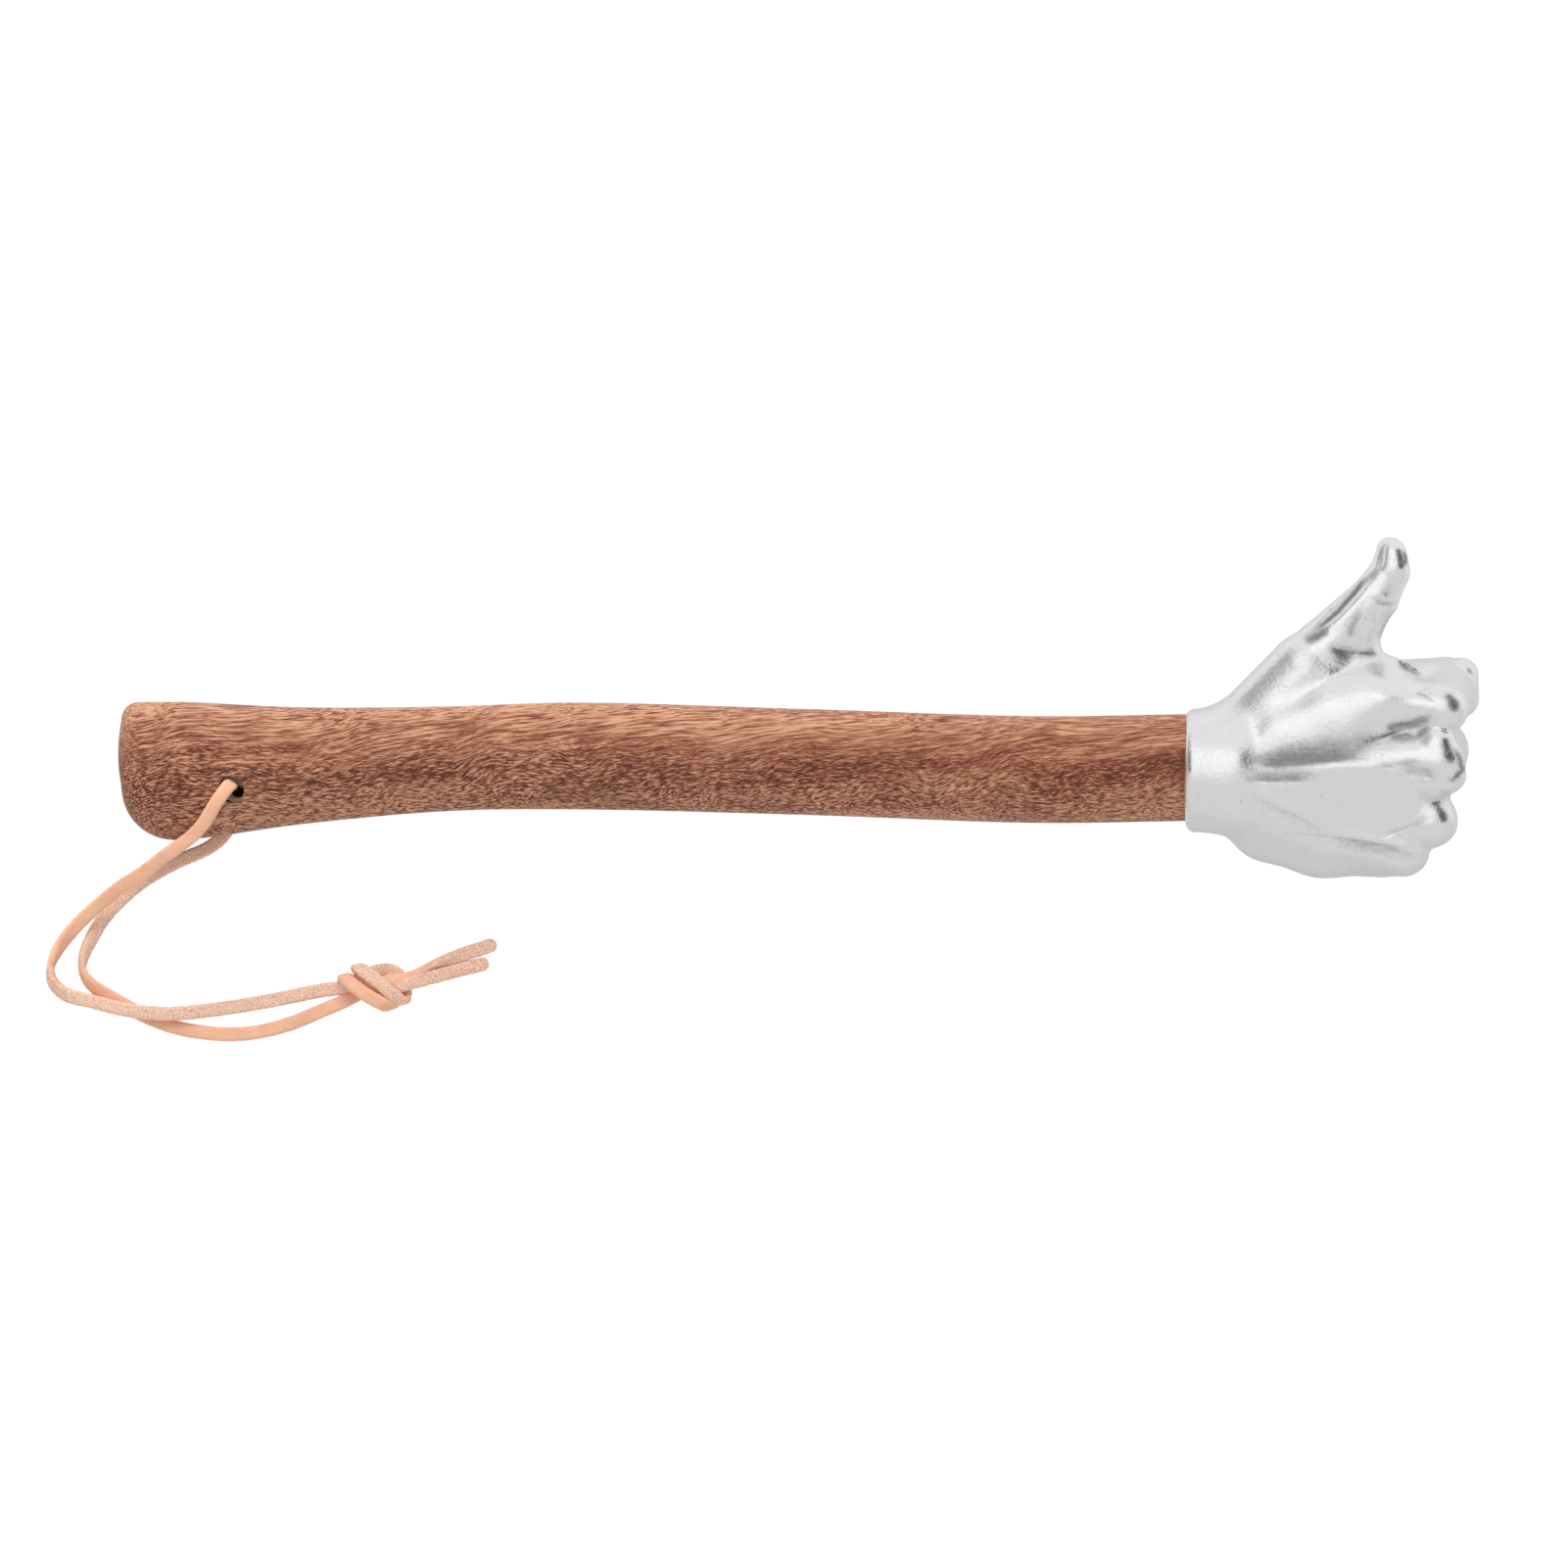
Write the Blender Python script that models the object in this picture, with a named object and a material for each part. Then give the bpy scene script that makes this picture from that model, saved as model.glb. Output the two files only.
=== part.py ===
"""A wooden-handled mallet with a cast thumbs-up fist for its head and a leather thong at its butt.

Metres, +Z up. The mallet lies on its curled fingers and its butt with the back of the hand up. The pieces are
drawn in the mallet's own frame: the origin on the handle's axis where wood meets collar, +X along the handle
towards the fist, +Y towards the thumb, +Z towards the back of the hand. One empty then lays them down.
"""

import math

import bmesh
import bpy
import numpy as np
from mathutils import Matrix, Vector

# Fits
FIT_GAP = 0.0003
CUT_OVERSHOOT = 0.003

# Handle
HANDLE_LENGTH = 0.2591
BUTT_HEIGHT = 0.0334
BUTT_THICKNESS = 0.0242
BUTT_DOME = 0.0009
BUTT_DROP = 0.0003
BUTT_RUN = 0.0160
BUTT_UPPER_RADIUS = 0.0040
BUTT_LOWER_RADIUS = 0.0125
BUTT_FACE_RADIUS = 0.0050
SWELL_HEIGHT = 0.0283
SWELL_THICKNESS = 0.0226
SWELL_FROM_BUTT = 0.0450
WAIST_HEIGHT = 0.0254
WAIST_THICKNESS = 0.0212
WAIST_FROM_BUTT = 0.0800
BELLY_HEIGHT = 0.0259
BELLY_THICKNESS = 0.0218
BELLY_FROM_BUTT = 0.1100
NECK_HEIGHT = 0.0259
NECK_THICKNESS = 0.0252
NECK_RUN = 0.0360
HANDLE_BOW = 0.0034
SWELL_BOW_SHARE = 0.3
WAIST_BOW_SHARE = 0.8
UPPER_GRIP_BOW_SHARE = 0.6
NECK_BOW_SHARE = 0.05
SHOULDER_BOW_SHARE = 0.2
SECTION_SQUARENESS = 2.3
HANDLE_SIDES = 28
HANDLE_RING_STEP = 0.0100
BUTT_TURNS = 5
BUTT_INNER_RING = 0.5
BUTT_INNER_DOME = 0.75

# Thong hole, drilled through the butt from face to face
HOLE_DIAMETER = 0.0064
HOLE_FROM_BUTT = 0.0280
HOLE_DROP = 0.0049

# Tenon, socket and stud
TENON_DIAMETER = 0.0210
TENON_LENGTH = 0.0260
TENON_CHAMFER = 0.0010
STUD_DIAMETER = 0.0080
STUD_IN_WOOD = 0.0400
STUD_IN_HEAD = 0.0160
STUD_CHAMFER = 0.0010

# Wrist collar
COLLAR_DIAMETER = 0.0300
COLLAR_LENGTH = 0.0104
COLLAR_LIP = 0.0022
COLLAR_ROOT = 0.0060
ROUND_SIDES = 48

# Fist: balls along its bones, each (along the handle, towards the thumb, towards the back, radius)
FINGERS = {
    "index": (
        (0.0578, 0.0152, 0.0076, 0.0076),
        (0.0628, 0.0202, -0.0120, 0.0084),
        (0.0440, 0.0192, -0.0184, 0.0072),
        (0.0380, 0.0170, -0.0080, 0.0055),
    ),
    "middle": (
        (0.0600, 0.0036, 0.0084, 0.0076),
        (0.0595, 0.0026, -0.0132, 0.0085),
        (0.0410, 0.0052, -0.0192, 0.0070),
        (0.0350, 0.0056, -0.0090, 0.0056),
    ),
    "ring": (
        (0.0584, -0.0120, 0.0066, 0.0071),
        (0.0576, -0.0122, -0.0134, 0.0078),
        (0.0395, -0.0080, -0.0193, 0.0069),
        (0.0340, -0.0060, -0.0090, 0.0055),
    ),
    "little": (
        (0.0516, -0.0194, 0.0020, 0.0066),
        (0.0520, -0.0192, -0.0120, 0.0067),
        (0.0370, -0.0178, -0.0160, 0.0064),
        (0.0320, -0.0150, -0.0080, 0.0050),
    ),
}
THUMB = (
    (0.0140, 0.0080, 0.0010, 0.0107),
    (0.0332, 0.0288, 0.0025, 0.0079),
    (0.0464, 0.0420, 0.0025, 0.0064),
    (0.0498, 0.0523, 0.0030, 0.0048),
)
THUMB_WEB = ((0.0400, 0.0280, 0.0020, 0.0060), (0.0480, 0.0200, 0.0010, 0.0080))
THUMB_MUSCLE = ((0.0240, 0.0100, 0.0050, 0.0085), (0.0460, 0.0175, 0.0060, 0.0075))
PALM_HEEL = (
    ((0.0200, 0.0090, -0.0070, 0.0110), (0.0420, 0.0120, -0.0080, 0.0090)),
    ((0.0190, -0.0085, -0.0050, 0.0124), (0.0330, -0.0142, -0.0060, 0.0120), (0.0470, -0.0164, -0.0060, 0.0099)),
    ((0.0240, 0.0000, -0.0060, 0.0120), (0.0460, 0.0000, -0.0070, 0.0100)),
)
WRIST_BALLS = ((0.0130, 0.0020), (0.0130, -0.0020))
PALM_SET_BACK = 0.0055
PALM_THINNER = 0.0010
METACARPAL_ROOT = 0.0085
METACARPAL_FAN = 1 / 3
BALL_SUBDIVISIONS = 3
FIST_VOXEL = 0.0011
FIST_SMOOTHING = 0.5
FIST_SMOOTH_TURNS = 6
FIST_FACE_SHARE = 0.16

# Rest: how far the lace under it holds the butt off the surface
BUTT_LIFT = 0.0010
STEEPEST_TILT_DEG = 30.0
TILT_TRIALS = 40

# Thong: a narrow lace, round here, whose two halves leave the hole above and below
LACE_DIAMETER = 0.0022
LACE_LIFT = 0.0001
LACE_STEP = 0.0050
LACE_KNOT_STEP = 0.0013
LACE_HOLE_ROWS = 5
LACE_BEND_REACH = 2.5
CURVE_STEPS = 24
LACE_BEVEL_RESOLUTION = 2

# Front half over the handle: towards the head, towards the thumb, above the hole's upper mouth
FRONT_OVER_HANDLE = (
    (-0.0006, 0.0006, -0.0030),
    (-0.0010, 0.0008, 0.0004),
    (-0.0016, 0.0006, 0.0015),
    (-0.0027, -0.0003, 0.0017),
    (-0.0047, -0.0028, 0.0010),
    (-0.0067, -0.0056, -0.0001),
    (-0.0090, -0.0085, -0.0008),
    (-0.0128, -0.0127, -0.0031),
)
# Then down to the surface: towards the head, towards the thumb, above the surface
FRONT_ON_SURFACE = (
    (-0.0169, -0.0164, 0.0188),
    (-0.0216, -0.0200, 0.0150),
    (-0.0276, -0.0238, 0.0103),
    (-0.0323, -0.0276, 0.0063),
    (-0.0371, -0.0319, 0.0037),
    (-0.0407, -0.0359, 0.0021),
    (-0.0435, -0.0402, 0.0013),
    (-0.0447, -0.0438, 0.0013),
    (-0.0438, -0.0473, 0.0013),
    (-0.0407, -0.0499, 0.0016),
    (-0.0347, -0.0514, 0.0028),
    (-0.0288, -0.0530, 0.0039),
    (-0.0216, -0.0542, 0.0040),
    (-0.0145, -0.0545, 0.0028),
    (-0.0050, -0.0535, 0.0015),
    (0.0045, -0.0521, 0.0013),
    (0.0140, -0.0503, 0.0014),
    (0.0212, -0.0488, 0.0024),
)
# Back half under the handle, on the surface all the way
BACK_ON_SURFACE = (
    (-0.0004, -0.0006, 0.0054),
    (-0.0005, -0.0009, 0.0027),
    (-0.0008, -0.0022, 0.0014),
    (-0.0011, -0.0043, 0.0013),
    (-0.0015, -0.0074, 0.0013),
    (-0.0028, -0.0112, 0.0013),
    (-0.0062, -0.0142, 0.0013),
    (-0.0121, -0.0168, 0.0013),
    (-0.0181, -0.0198, 0.0013),
    (-0.0228, -0.0228, 0.0013),
    (-0.0269, -0.0262, 0.0013),
    (-0.0312, -0.0307, 0.0013),
    (-0.0342, -0.0354, 0.0013),
    (-0.0364, -0.0402, 0.0013),
    (-0.0369, -0.0438, 0.0013),
    (-0.0352, -0.0468, 0.0013),
    (-0.0323, -0.0492, 0.0013),
    (-0.0276, -0.0518, 0.0013),
    (-0.0228, -0.0545, 0.0013),
    (-0.0181, -0.0566, 0.0013),
    (-0.0121, -0.0583, 0.0013),
    (-0.0062, -0.0592, 0.0013),
    (-0.0002, -0.0595, 0.0013),
    (0.0069, -0.0587, 0.0013),
    (0.0140, -0.0568, 0.0014),
    (0.0195, -0.0545, 0.0022),
)
# Overhand knot that both halves tie together: its place from the hole, how it is turned, and its passes.
# Each pass is (along the knot, across it, layer, and the way from the back half to the front half beside it).
KNOT_PLACE = (0.0340, -0.0480)
KNOT_TURN_DEG = 12.0
KNOT_PASSES = (
    (-0.0060, 0.0001, 1.0, (0.00, 1.00)),
    (-0.0010, 0.0005, 1.0, (0.00, 1.00)),
    (0.0026, -0.0005, 0.9, (0.30, 0.95)),
    (0.0050, -0.0025, 1.0, (0.60, 0.80)),
    (0.0070, -0.0044, 2.0, (0.67, 0.74)),
    (0.0040, -0.0031, 3.1, (0.67, 0.74)),
    (0.0000, 0.0001, 3.2, (0.67, 0.74)),
    (-0.0034, 0.0033, 3.0, (0.67, 0.74)),
    (-0.0056, 0.0053, 1.5, (0.75, 0.66)),
    (-0.0042, 0.0034, 0.0, (0.90, 0.43)),
    (-0.0028, 0.0004, 0.0, (0.92, 0.40)),
    (-0.0020, -0.0024, 0.0, (0.95, 0.30)),
    (-0.0012, -0.0042, 1.0, (1.00, 0.00)),
    (0.0002, -0.0028, 2.0, (0.90, -0.43)),
    (0.0028, 0.0000, 2.1, (0.62, -0.78)),
    (0.0066, 0.0015, 2.0, (0.25, -0.97)),
    (0.0105, 0.0010, 1.3, (-0.05, -1.00)),
)
KNOT_PITCH = 0.0028
# Free ends past the knot, in the knot's own directions and above the surface
FRONT_TAIL = ((0.0160, -0.0006, 0.0024), (0.0220, -0.0003, 0.0013), (0.0279, 0.0001, 0.0013))
BACK_TAIL = ((0.0160, 0.0023, 0.0024), (0.0230, 0.0034, 0.0013), (0.0308, 0.0044, 0.0013))

# Finishes: colour, roughness, metallic
CAST_ALUMINIUM = ((0.78, 0.77, 0.77), 0.32, 1.0)
BROWN_WOOD = ((0.30, 0.14, 0.075), 0.50, 0.0)
PLAIN_STEEL = ((0.52, 0.52, 0.54), 0.35, 1.0)
TAN_LEATHER = ((0.80, 0.52, 0.36), 0.75, 0.0)
HANDLE_CREASE_DEG = 40.0
FIST_CREASE_DEG = 60.0
STUD_CREASE_DEG = 30.0


def clear_scene():
    """Removes whatever the file holds."""
    for thing in list(bpy.data.objects):
        bpy.data.objects.remove(thing, do_unlink=True)


def finish_of(name, values):
    """A plain Principled material from a colour, a roughness and a metallic value."""
    colour, roughness, metallic = values
    material = bpy.data.materials.new(name)
    material.use_nodes = True
    shader = material.node_tree.nodes["Principled BSDF"]
    shader.inputs["Base Color"].default_value = (*colour, 1.0)
    shader.inputs["Roughness"].default_value = roughness
    shader.inputs["Metallic"].default_value = metallic
    return material


def empty_at(name, place=(0.0, 0.0, 0.0)):
    """An empty that carries pieces."""
    carrier = bpy.data.objects.new(name, None)
    carrier.location = place
    bpy.context.collection.objects.link(carrier)
    return carrier


def object_from(name, shape, parent):
    """Turns a bmesh into a named object under its parent."""
    mesh = bpy.data.meshes.new(name)
    shape.to_mesh(mesh)
    shape.free()
    piece = bpy.data.objects.new(name, mesh)
    piece.parent = parent
    bpy.context.collection.objects.link(piece)
    return piece


def cut(piece, cutter):
    """Takes a cutter's shape out of a piece, and keeps the cutter as a hidden guide."""
    cutter.hide_render = True
    cutter.display_type = "WIRE"
    boolean = piece.modifiers.new(cutter.name, "BOOLEAN")
    boolean.operation = "DIFFERENCE"
    boolean.object = cutter


def turned(name, profile, parent):
    """A solid turned about the X axis from (along, radius) points that start and end on the axis."""
    shape = bmesh.new()
    points = [shape.verts.new((along, 0.0, radius)) for along, radius in profile]
    edges = [shape.edges.new(pair) for pair in zip(points, points[1:])]
    bmesh.ops.spin(
        shape,
        geom=points + edges,
        cent=(0.0, 0.0, 0.0),
        axis=(1.0, 0.0, 0.0),
        angle=math.tau,
        steps=ROUND_SIDES,
        use_merge=True,
    )
    bmesh.ops.remove_doubles(shape, verts=shape.verts[:], dist=1e-6)
    bmesh.ops.recalc_face_normals(shape, faces=shape.faces[:])
    return object_from(name, shape, parent)


def rod(name, start, end, diameter, chamfer, parent):
    """A turned rod along X with a chamfer at each end."""
    radius = diameter / 2
    profile = (
        (start, 0.0),
        (start, radius - chamfer),
        (start + chamfer, radius),
        (end - chamfer, radius),
        (end, radius - chamfer),
        (end, 0.0),
    )
    return turned(name, profile, parent)


def smooth_curve(points):
    """Points along a centripetal Catmull-Rom curve through the given points, of any number of values each."""
    route = np.array(points, dtype=float)
    route = np.vstack([2 * route[0] - route[1], route, 2 * route[-1] - route[-2]])
    steps = np.linalg.norm(np.diff(route, axis=0), axis=1) ** 0.5
    knots = np.concatenate([[0.0], np.cumsum(steps)])
    spans = []
    for i in range(1, len(route) - 2):
        t0, t1, t2, t3 = knots[i - 1 : i + 3]
        p0, p1, p2, p3 = route[i - 1 : i + 3]
        t = np.linspace(t1, t2, CURVE_STEPS, endpoint=False)[:, None]
        a1 = ((t1 - t) * p0 + (t - t0) * p1) / (t1 - t0)
        a2 = ((t2 - t) * p1 + (t - t1) * p2) / (t2 - t1)
        a3 = ((t3 - t) * p2 + (t - t2) * p3) / (t3 - t2)
        b1 = ((t2 - t) * a1 + (t - t0) * a2) / (t2 - t0)
        b2 = ((t3 - t) * a2 + (t - t1) * a3) / (t3 - t1)
        spans.append(((t2 - t) * b1 + (t - t1) * b2) / (t2 - t1))
    spans.append(route[-2:-1])
    return np.vstack(spans)


def evenly(points, step):
    """Points read from a dense curve at even steps of about the given length, both ends kept."""
    runs = np.concatenate([[0.0], np.cumsum(np.linalg.norm(np.diff(points, axis=0), axis=1))])
    places = np.linspace(0.0, runs[-1], max(2, round(runs[-1] / step) + 1))
    return np.stack([np.interp(places, runs, column) for column in points.T], axis=1)


def handle_sections():
    """The handle from butt to shoulder, as rows of (along, bow, height, thickness) on one smooth curve."""
    belly_to_neck = HANDLE_LENGTH - NECK_RUN - BELLY_FROM_BUTT
    rows = (
        (0.0, -BUTT_DROP, BUTT_HEIGHT, BUTT_THICKNESS),
        (BUTT_RUN, -BUTT_DROP, BUTT_HEIGHT, BUTT_THICKNESS),
        (SWELL_FROM_BUTT, SWELL_BOW_SHARE * HANDLE_BOW, SWELL_HEIGHT, SWELL_THICKNESS),
        (WAIST_FROM_BUTT, WAIST_BOW_SHARE * HANDLE_BOW, WAIST_HEIGHT, WAIST_THICKNESS),
        (BELLY_FROM_BUTT, HANDLE_BOW, BELLY_HEIGHT, BELLY_THICKNESS),
        (
            BELLY_FROM_BUTT + belly_to_neck / 2,
            UPPER_GRIP_BOW_SHARE * HANDLE_BOW,
            (WAIST_HEIGHT + NECK_HEIGHT) / 2,
            (BELLY_THICKNESS + NECK_THICKNESS) / 2,
        ),
        (HANDLE_LENGTH - NECK_RUN, NECK_BOW_SHARE * HANDLE_BOW, NECK_HEIGHT, NECK_THICKNESS),
        (HANDLE_LENGTH - FIT_GAP, SHOULDER_BOW_SHARE * HANDLE_BOW, NECK_HEIGHT, NECK_THICKNESS),
    )
    sections = smooth_curve(rows)
    sections[:, 0] -= HANDLE_LENGTH
    return sections


def section_at(along):
    """The handle's bow, height and thickness at one place on its length."""
    sections = handle_sections()
    return [float(np.interp(along, sections[:, 0], column)) for column in sections.T[1:]]


def oval(height, thickness, squareness):
    """Points (across, up) round an oval of the given squareness: 2 is an ellipse, more is squarer."""
    angles = np.linspace(0.0, math.tau, HANDLE_SIDES, endpoint=False)
    power = 2.0 / squareness
    across = np.sign(np.cos(angles)) * np.abs(np.cos(angles)) ** power * height / 2
    up = np.sign(np.sin(angles)) * np.abs(np.sin(angles)) ** power * thickness / 2
    return across, up


def butt_rings():
    """Rings that round the butt's end, from its flat to its full section, each leaning with its two corners."""
    end = BUTT_DOME - HANDLE_LENGTH
    rings = []
    for turn in np.linspace(0.0, math.pi / 2, BUTT_TURNS, endpoint=False):
        inset = 1.0 - math.sin(turn)
        back = 1.0 - math.cos(turn)
        upper = BUTT_HEIGHT / 2 - BUTT_DROP - BUTT_UPPER_RADIUS * inset
        lower = -BUTT_HEIGHT / 2 - BUTT_DROP + BUTT_LOWER_RADIUS * inset
        across, up = oval(upper - lower, BUTT_THICKNESS - 2 * BUTT_FACE_RADIUS * inset, SECTION_SQUARENESS)
        share = across / (upper - lower) + 0.5
        along = end + back * (share * BUTT_UPPER_RADIUS + (1.0 - share) * BUTT_LOWER_RADIUS)
        rings.append(np.stack([along, across + (upper + lower) / 2, up], axis=1))
    middle = rings[0].mean(axis=0)
    inner = middle + (rings[0] - middle) * BUTT_INNER_RING
    inner[:, 0] -= BUTT_DOME * BUTT_INNER_DOME
    return [inner] + rings


def body_rings():
    """Oval rings from behind the butt's corners to the shoulder."""
    sections = handle_sections()
    start = BUTT_LOWER_RADIUS - HANDLE_LENGTH + BUTT_DOME
    behind = sections[sections[:, 0] > start]
    rings = []
    for along, bow, height, thickness in evenly(behind, HANDLE_RING_STEP):
        across, up = oval(height, thickness, SECTION_SQUARENESS)
        rings.append(np.stack([np.full_like(up, along), across + bow, up], axis=1))
    return rings


def tenon_rings():
    """Round rings from the shoulder to the tenon's chamfered end."""
    radius = TENON_DIAMETER / 2
    places = (
        (-FIT_GAP, radius),
        (TENON_LENGTH - TENON_CHAMFER, radius),
        (TENON_LENGTH, radius - TENON_CHAMFER),
    )
    rings = []
    for along, size in places:
        across, up = oval(2 * size, 2 * size, 2.0)
        rings.append(np.stack([np.full_like(up, along), across, up], axis=1))
    return rings


def make_handle(parent):
    """The wooden handle: rings skinned from the domed butt to the tenon, with its two holes."""
    shape = bmesh.new()
    rings = [[shape.verts.new(point) for point in ring] for ring in butt_rings() + body_rings() + tenon_rings()]
    for first, second in zip(rings, rings[1:]):
        for i in range(HANDLE_SIDES):
            j = (i + 1) % HANDLE_SIDES
            shape.faces.new((first[i], first[j], second[j], second[i]))
    crown = sum((vert.co for vert in rings[0]), Vector()) / HANDLE_SIDES
    tip = shape.verts.new((-HANDLE_LENGTH, crown.y, crown.z))
    for i in range(HANDLE_SIDES):
        shape.faces.new((tip, rings[0][(i + 1) % HANDLE_SIDES], rings[0][i]))
    shape.faces.new(rings[-1])
    bmesh.ops.recalc_face_normals(shape, faces=shape.faces[:])
    handle = object_from("handle", shape, parent)

    along, across = hole_place()
    drill = rod("thong_hole_drill", -BUTT_THICKNESS, BUTT_THICKNESS, HOLE_DIAMETER, 0.0, parent)
    drill.rotation_euler = (0.0, math.pi / 2, 0.0)
    drill.location = (along, across, 0.0)
    cut(handle, drill)
    pilot = rod(
        "stud_pilot_drill",
        TENON_LENGTH - STUD_IN_WOOD - FIT_GAP,
        TENON_LENGTH + CUT_OVERSHOOT,
        STUD_DIAMETER + 2 * FIT_GAP,
        0.0,
        parent,
    )
    cut(handle, pilot)
    return handle


def hole_place():
    """The thong hole's place on the handle: along it, and below its middle line."""
    along = HOLE_FROM_BUTT - HANDLE_LENGTH
    return along, section_at(along)[0] - HOLE_DROP


def hole_mouth():
    """How far the hole's mouths lie above and below the handle's middle."""
    _, height, thickness = section_at(hole_place()[0])
    level = 1.0 - (HOLE_DROP / (height / 2)) ** SECTION_SQUARENESS
    return thickness / 2 * level ** (1.0 / SECTION_SQUARENESS)


def make_stud(parent):
    """The steel stud on the handle's axis, half in the wood and half in the casting."""
    return rod(
        "head_stud",
        TENON_LENGTH - STUD_IN_WOOD,
        TENON_LENGTH + STUD_IN_HEAD,
        STUD_DIAMETER,
        STUD_CHAMFER,
        parent,
    )


def add_wrapped_balls(shape, balls):
    """Adds the rounded body stretched round a few balls to a bmesh."""
    body = bmesh.new()
    for x, y, z, radius in balls:
        bmesh.ops.create_icosphere(body, subdivisions=BALL_SUBDIVISIONS, radius=radius, matrix=Matrix.Translation((x, y, z)))
    bmesh.ops.delete(body, geom=body.edges[:] + body.faces[:], context="EDGES_FACES")
    inside = bmesh.ops.convex_hull(body, input=body.verts[:])["geom_interior"]
    bmesh.ops.delete(body, geom=[item for item in inside if isinstance(item, bmesh.types.BMVert)], context="VERTS")
    wrapped = bpy.data.meshes.new("wrapped_balls")
    body.to_mesh(wrapped)
    body.free()
    shape.from_mesh(wrapped)
    bpy.data.meshes.remove(wrapped)


def fist_bodies():
    """Groups of balls whose wrapped bodies make up the fist."""
    wrist_radius = COLLAR_DIAMETER / 2 - COLLAR_LIP / 2
    wrist = [(along, across, 0.0, wrist_radius - abs(across)) for along, across in WRIST_BALLS]
    knuckles = [joints[0] for joints in FINGERS.values()]
    palm_edge = [(x - PALM_SET_BACK, y, z - PALM_THINNER, radius) for x, y, z, radius in knuckles]
    groups = [wrist + palm_edge[i : i + 2] for i in range(len(palm_edge) - 1)]
    for x, y, z, radius in knuckles:
        root = (WRIST_BALLS[0][0], y * METACARPAL_FAN, wrist_radius - METACARPAL_ROOT, METACARPAL_ROOT)
        groups.append([root, (x, y, z, radius)])
    for joints in FINGERS.values():
        groups += [joints[i : i + 2] for i in range(len(joints) - 1)]
    groups += [THUMB[i : i + 2] for i in range(len(THUMB) - 1)]
    groups.append([THUMB[0], THUMB[1], *THUMB_WEB, knuckles[0]])
    groups.append([THUMB[1], THUMB[2], THUMB_WEB[0]])
    groups.append([THUMB_WEB[1], FINGERS["index"][1]])
    groups.append([*THUMB_MUSCLE, THUMB[1]])
    groups += list(PALM_HEEL)
    return groups


def make_fist(parent):
    """The casting: bones wrapped and melted into one skin, a turned collar, and the socket for the handle."""
    shape = bmesh.new()
    for balls in fist_bodies():
        add_wrapped_balls(shape, balls)
    fist = object_from("fist_head", shape, parent)
    skin = fist.modifiers.new("skin", "REMESH")
    skin.mode = "VOXEL"
    skin.voxel_size = FIST_VOXEL
    melt = fist.modifiers.new("melt", "SMOOTH")
    melt.factor = FIST_SMOOTHING
    melt.iterations = FIST_SMOOTH_TURNS
    thin = fist.modifiers.new("thin", "DECIMATE")
    thin.ratio = FIST_FACE_SHARE

    radius = COLLAR_DIAMETER / 2
    lip = [
        (COLLAR_LIP * (1 - math.sin(turn)), radius - COLLAR_LIP * (1 - math.cos(turn)))
        for turn in np.linspace(math.pi / 2, 0.0, 5)
    ]
    profile = [(0.0, 0.0)] + lip + [
        (COLLAR_LENGTH, radius),
        (COLLAR_LENGTH + COLLAR_ROOT, radius - COLLAR_ROOT),
        (COLLAR_LENGTH + COLLAR_ROOT, 0.0),
    ]
    collar = turned("collar_form", profile, parent)
    collar.hide_render = True
    collar.display_type = "WIRE"
    union = fist.modifiers.new("collar", "BOOLEAN")
    union.operation = "UNION"
    union.object = collar

    socket_radius = TENON_DIAMETER / 2 + FIT_GAP
    tap_radius = STUD_DIAMETER / 2 + FIT_GAP
    socket_end = TENON_LENGTH + FIT_GAP
    tap_end = TENON_LENGTH + STUD_IN_HEAD + FIT_GAP
    socket_profile = (
        (-CUT_OVERSHOOT, 0.0),
        (-CUT_OVERSHOOT, socket_radius),
        (socket_end, socket_radius),
        (socket_end, tap_radius),
        (tap_end, tap_radius),
        (tap_end, 0.0),
    )
    cut(fist, turned("socket_drill", socket_profile, parent))
    return fist


def shaped_points(piece):
    """A piece's points in its own frame, as its modifiers leave it."""
    seen = piece.evaluated_get(bpy.context.evaluated_depsgraph_get())
    mesh = seen.to_mesh()
    points = np.empty(len(mesh.vertices) * 3)
    mesh.vertices.foreach_get("co", points)
    seen.to_mesh_clear()
    return points.reshape(-1, 3)


def lay_down(carrier, fist, handle):
    """Tilts the mallet until fist and butt rest, and centres its box over the origin."""
    fist_points = shaped_points(fist)
    handle_points = shaped_points(handle)

    def heights(points, tilt):
        return points[:, 0] * math.sin(tilt) + points[:, 2] * math.cos(tilt)

    flat, steep = 0.0, math.radians(STEEPEST_TILT_DEG)
    for _ in range(TILT_TRIALS):
        tilt = (flat + steep) / 2
        if heights(handle_points, tilt).min() - heights(fist_points, tilt).min() > BUTT_LIFT:
            flat = tilt
        else:
            steep = tilt
    points = np.vstack([fist_points, handle_points])
    along = points[:, 0] * math.cos(tilt) - points[:, 2] * math.sin(tilt)
    across = points[:, 1]
    carrier.rotation_euler = (0.0, -tilt, 0.0)
    carrier.location = (
        -(along.min() + along.max()) / 2,
        -(across.min() + across.max()) / 2,
        -heights(fist_points, tilt).min(),
    )
    bpy.context.view_layer.update()


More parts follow.
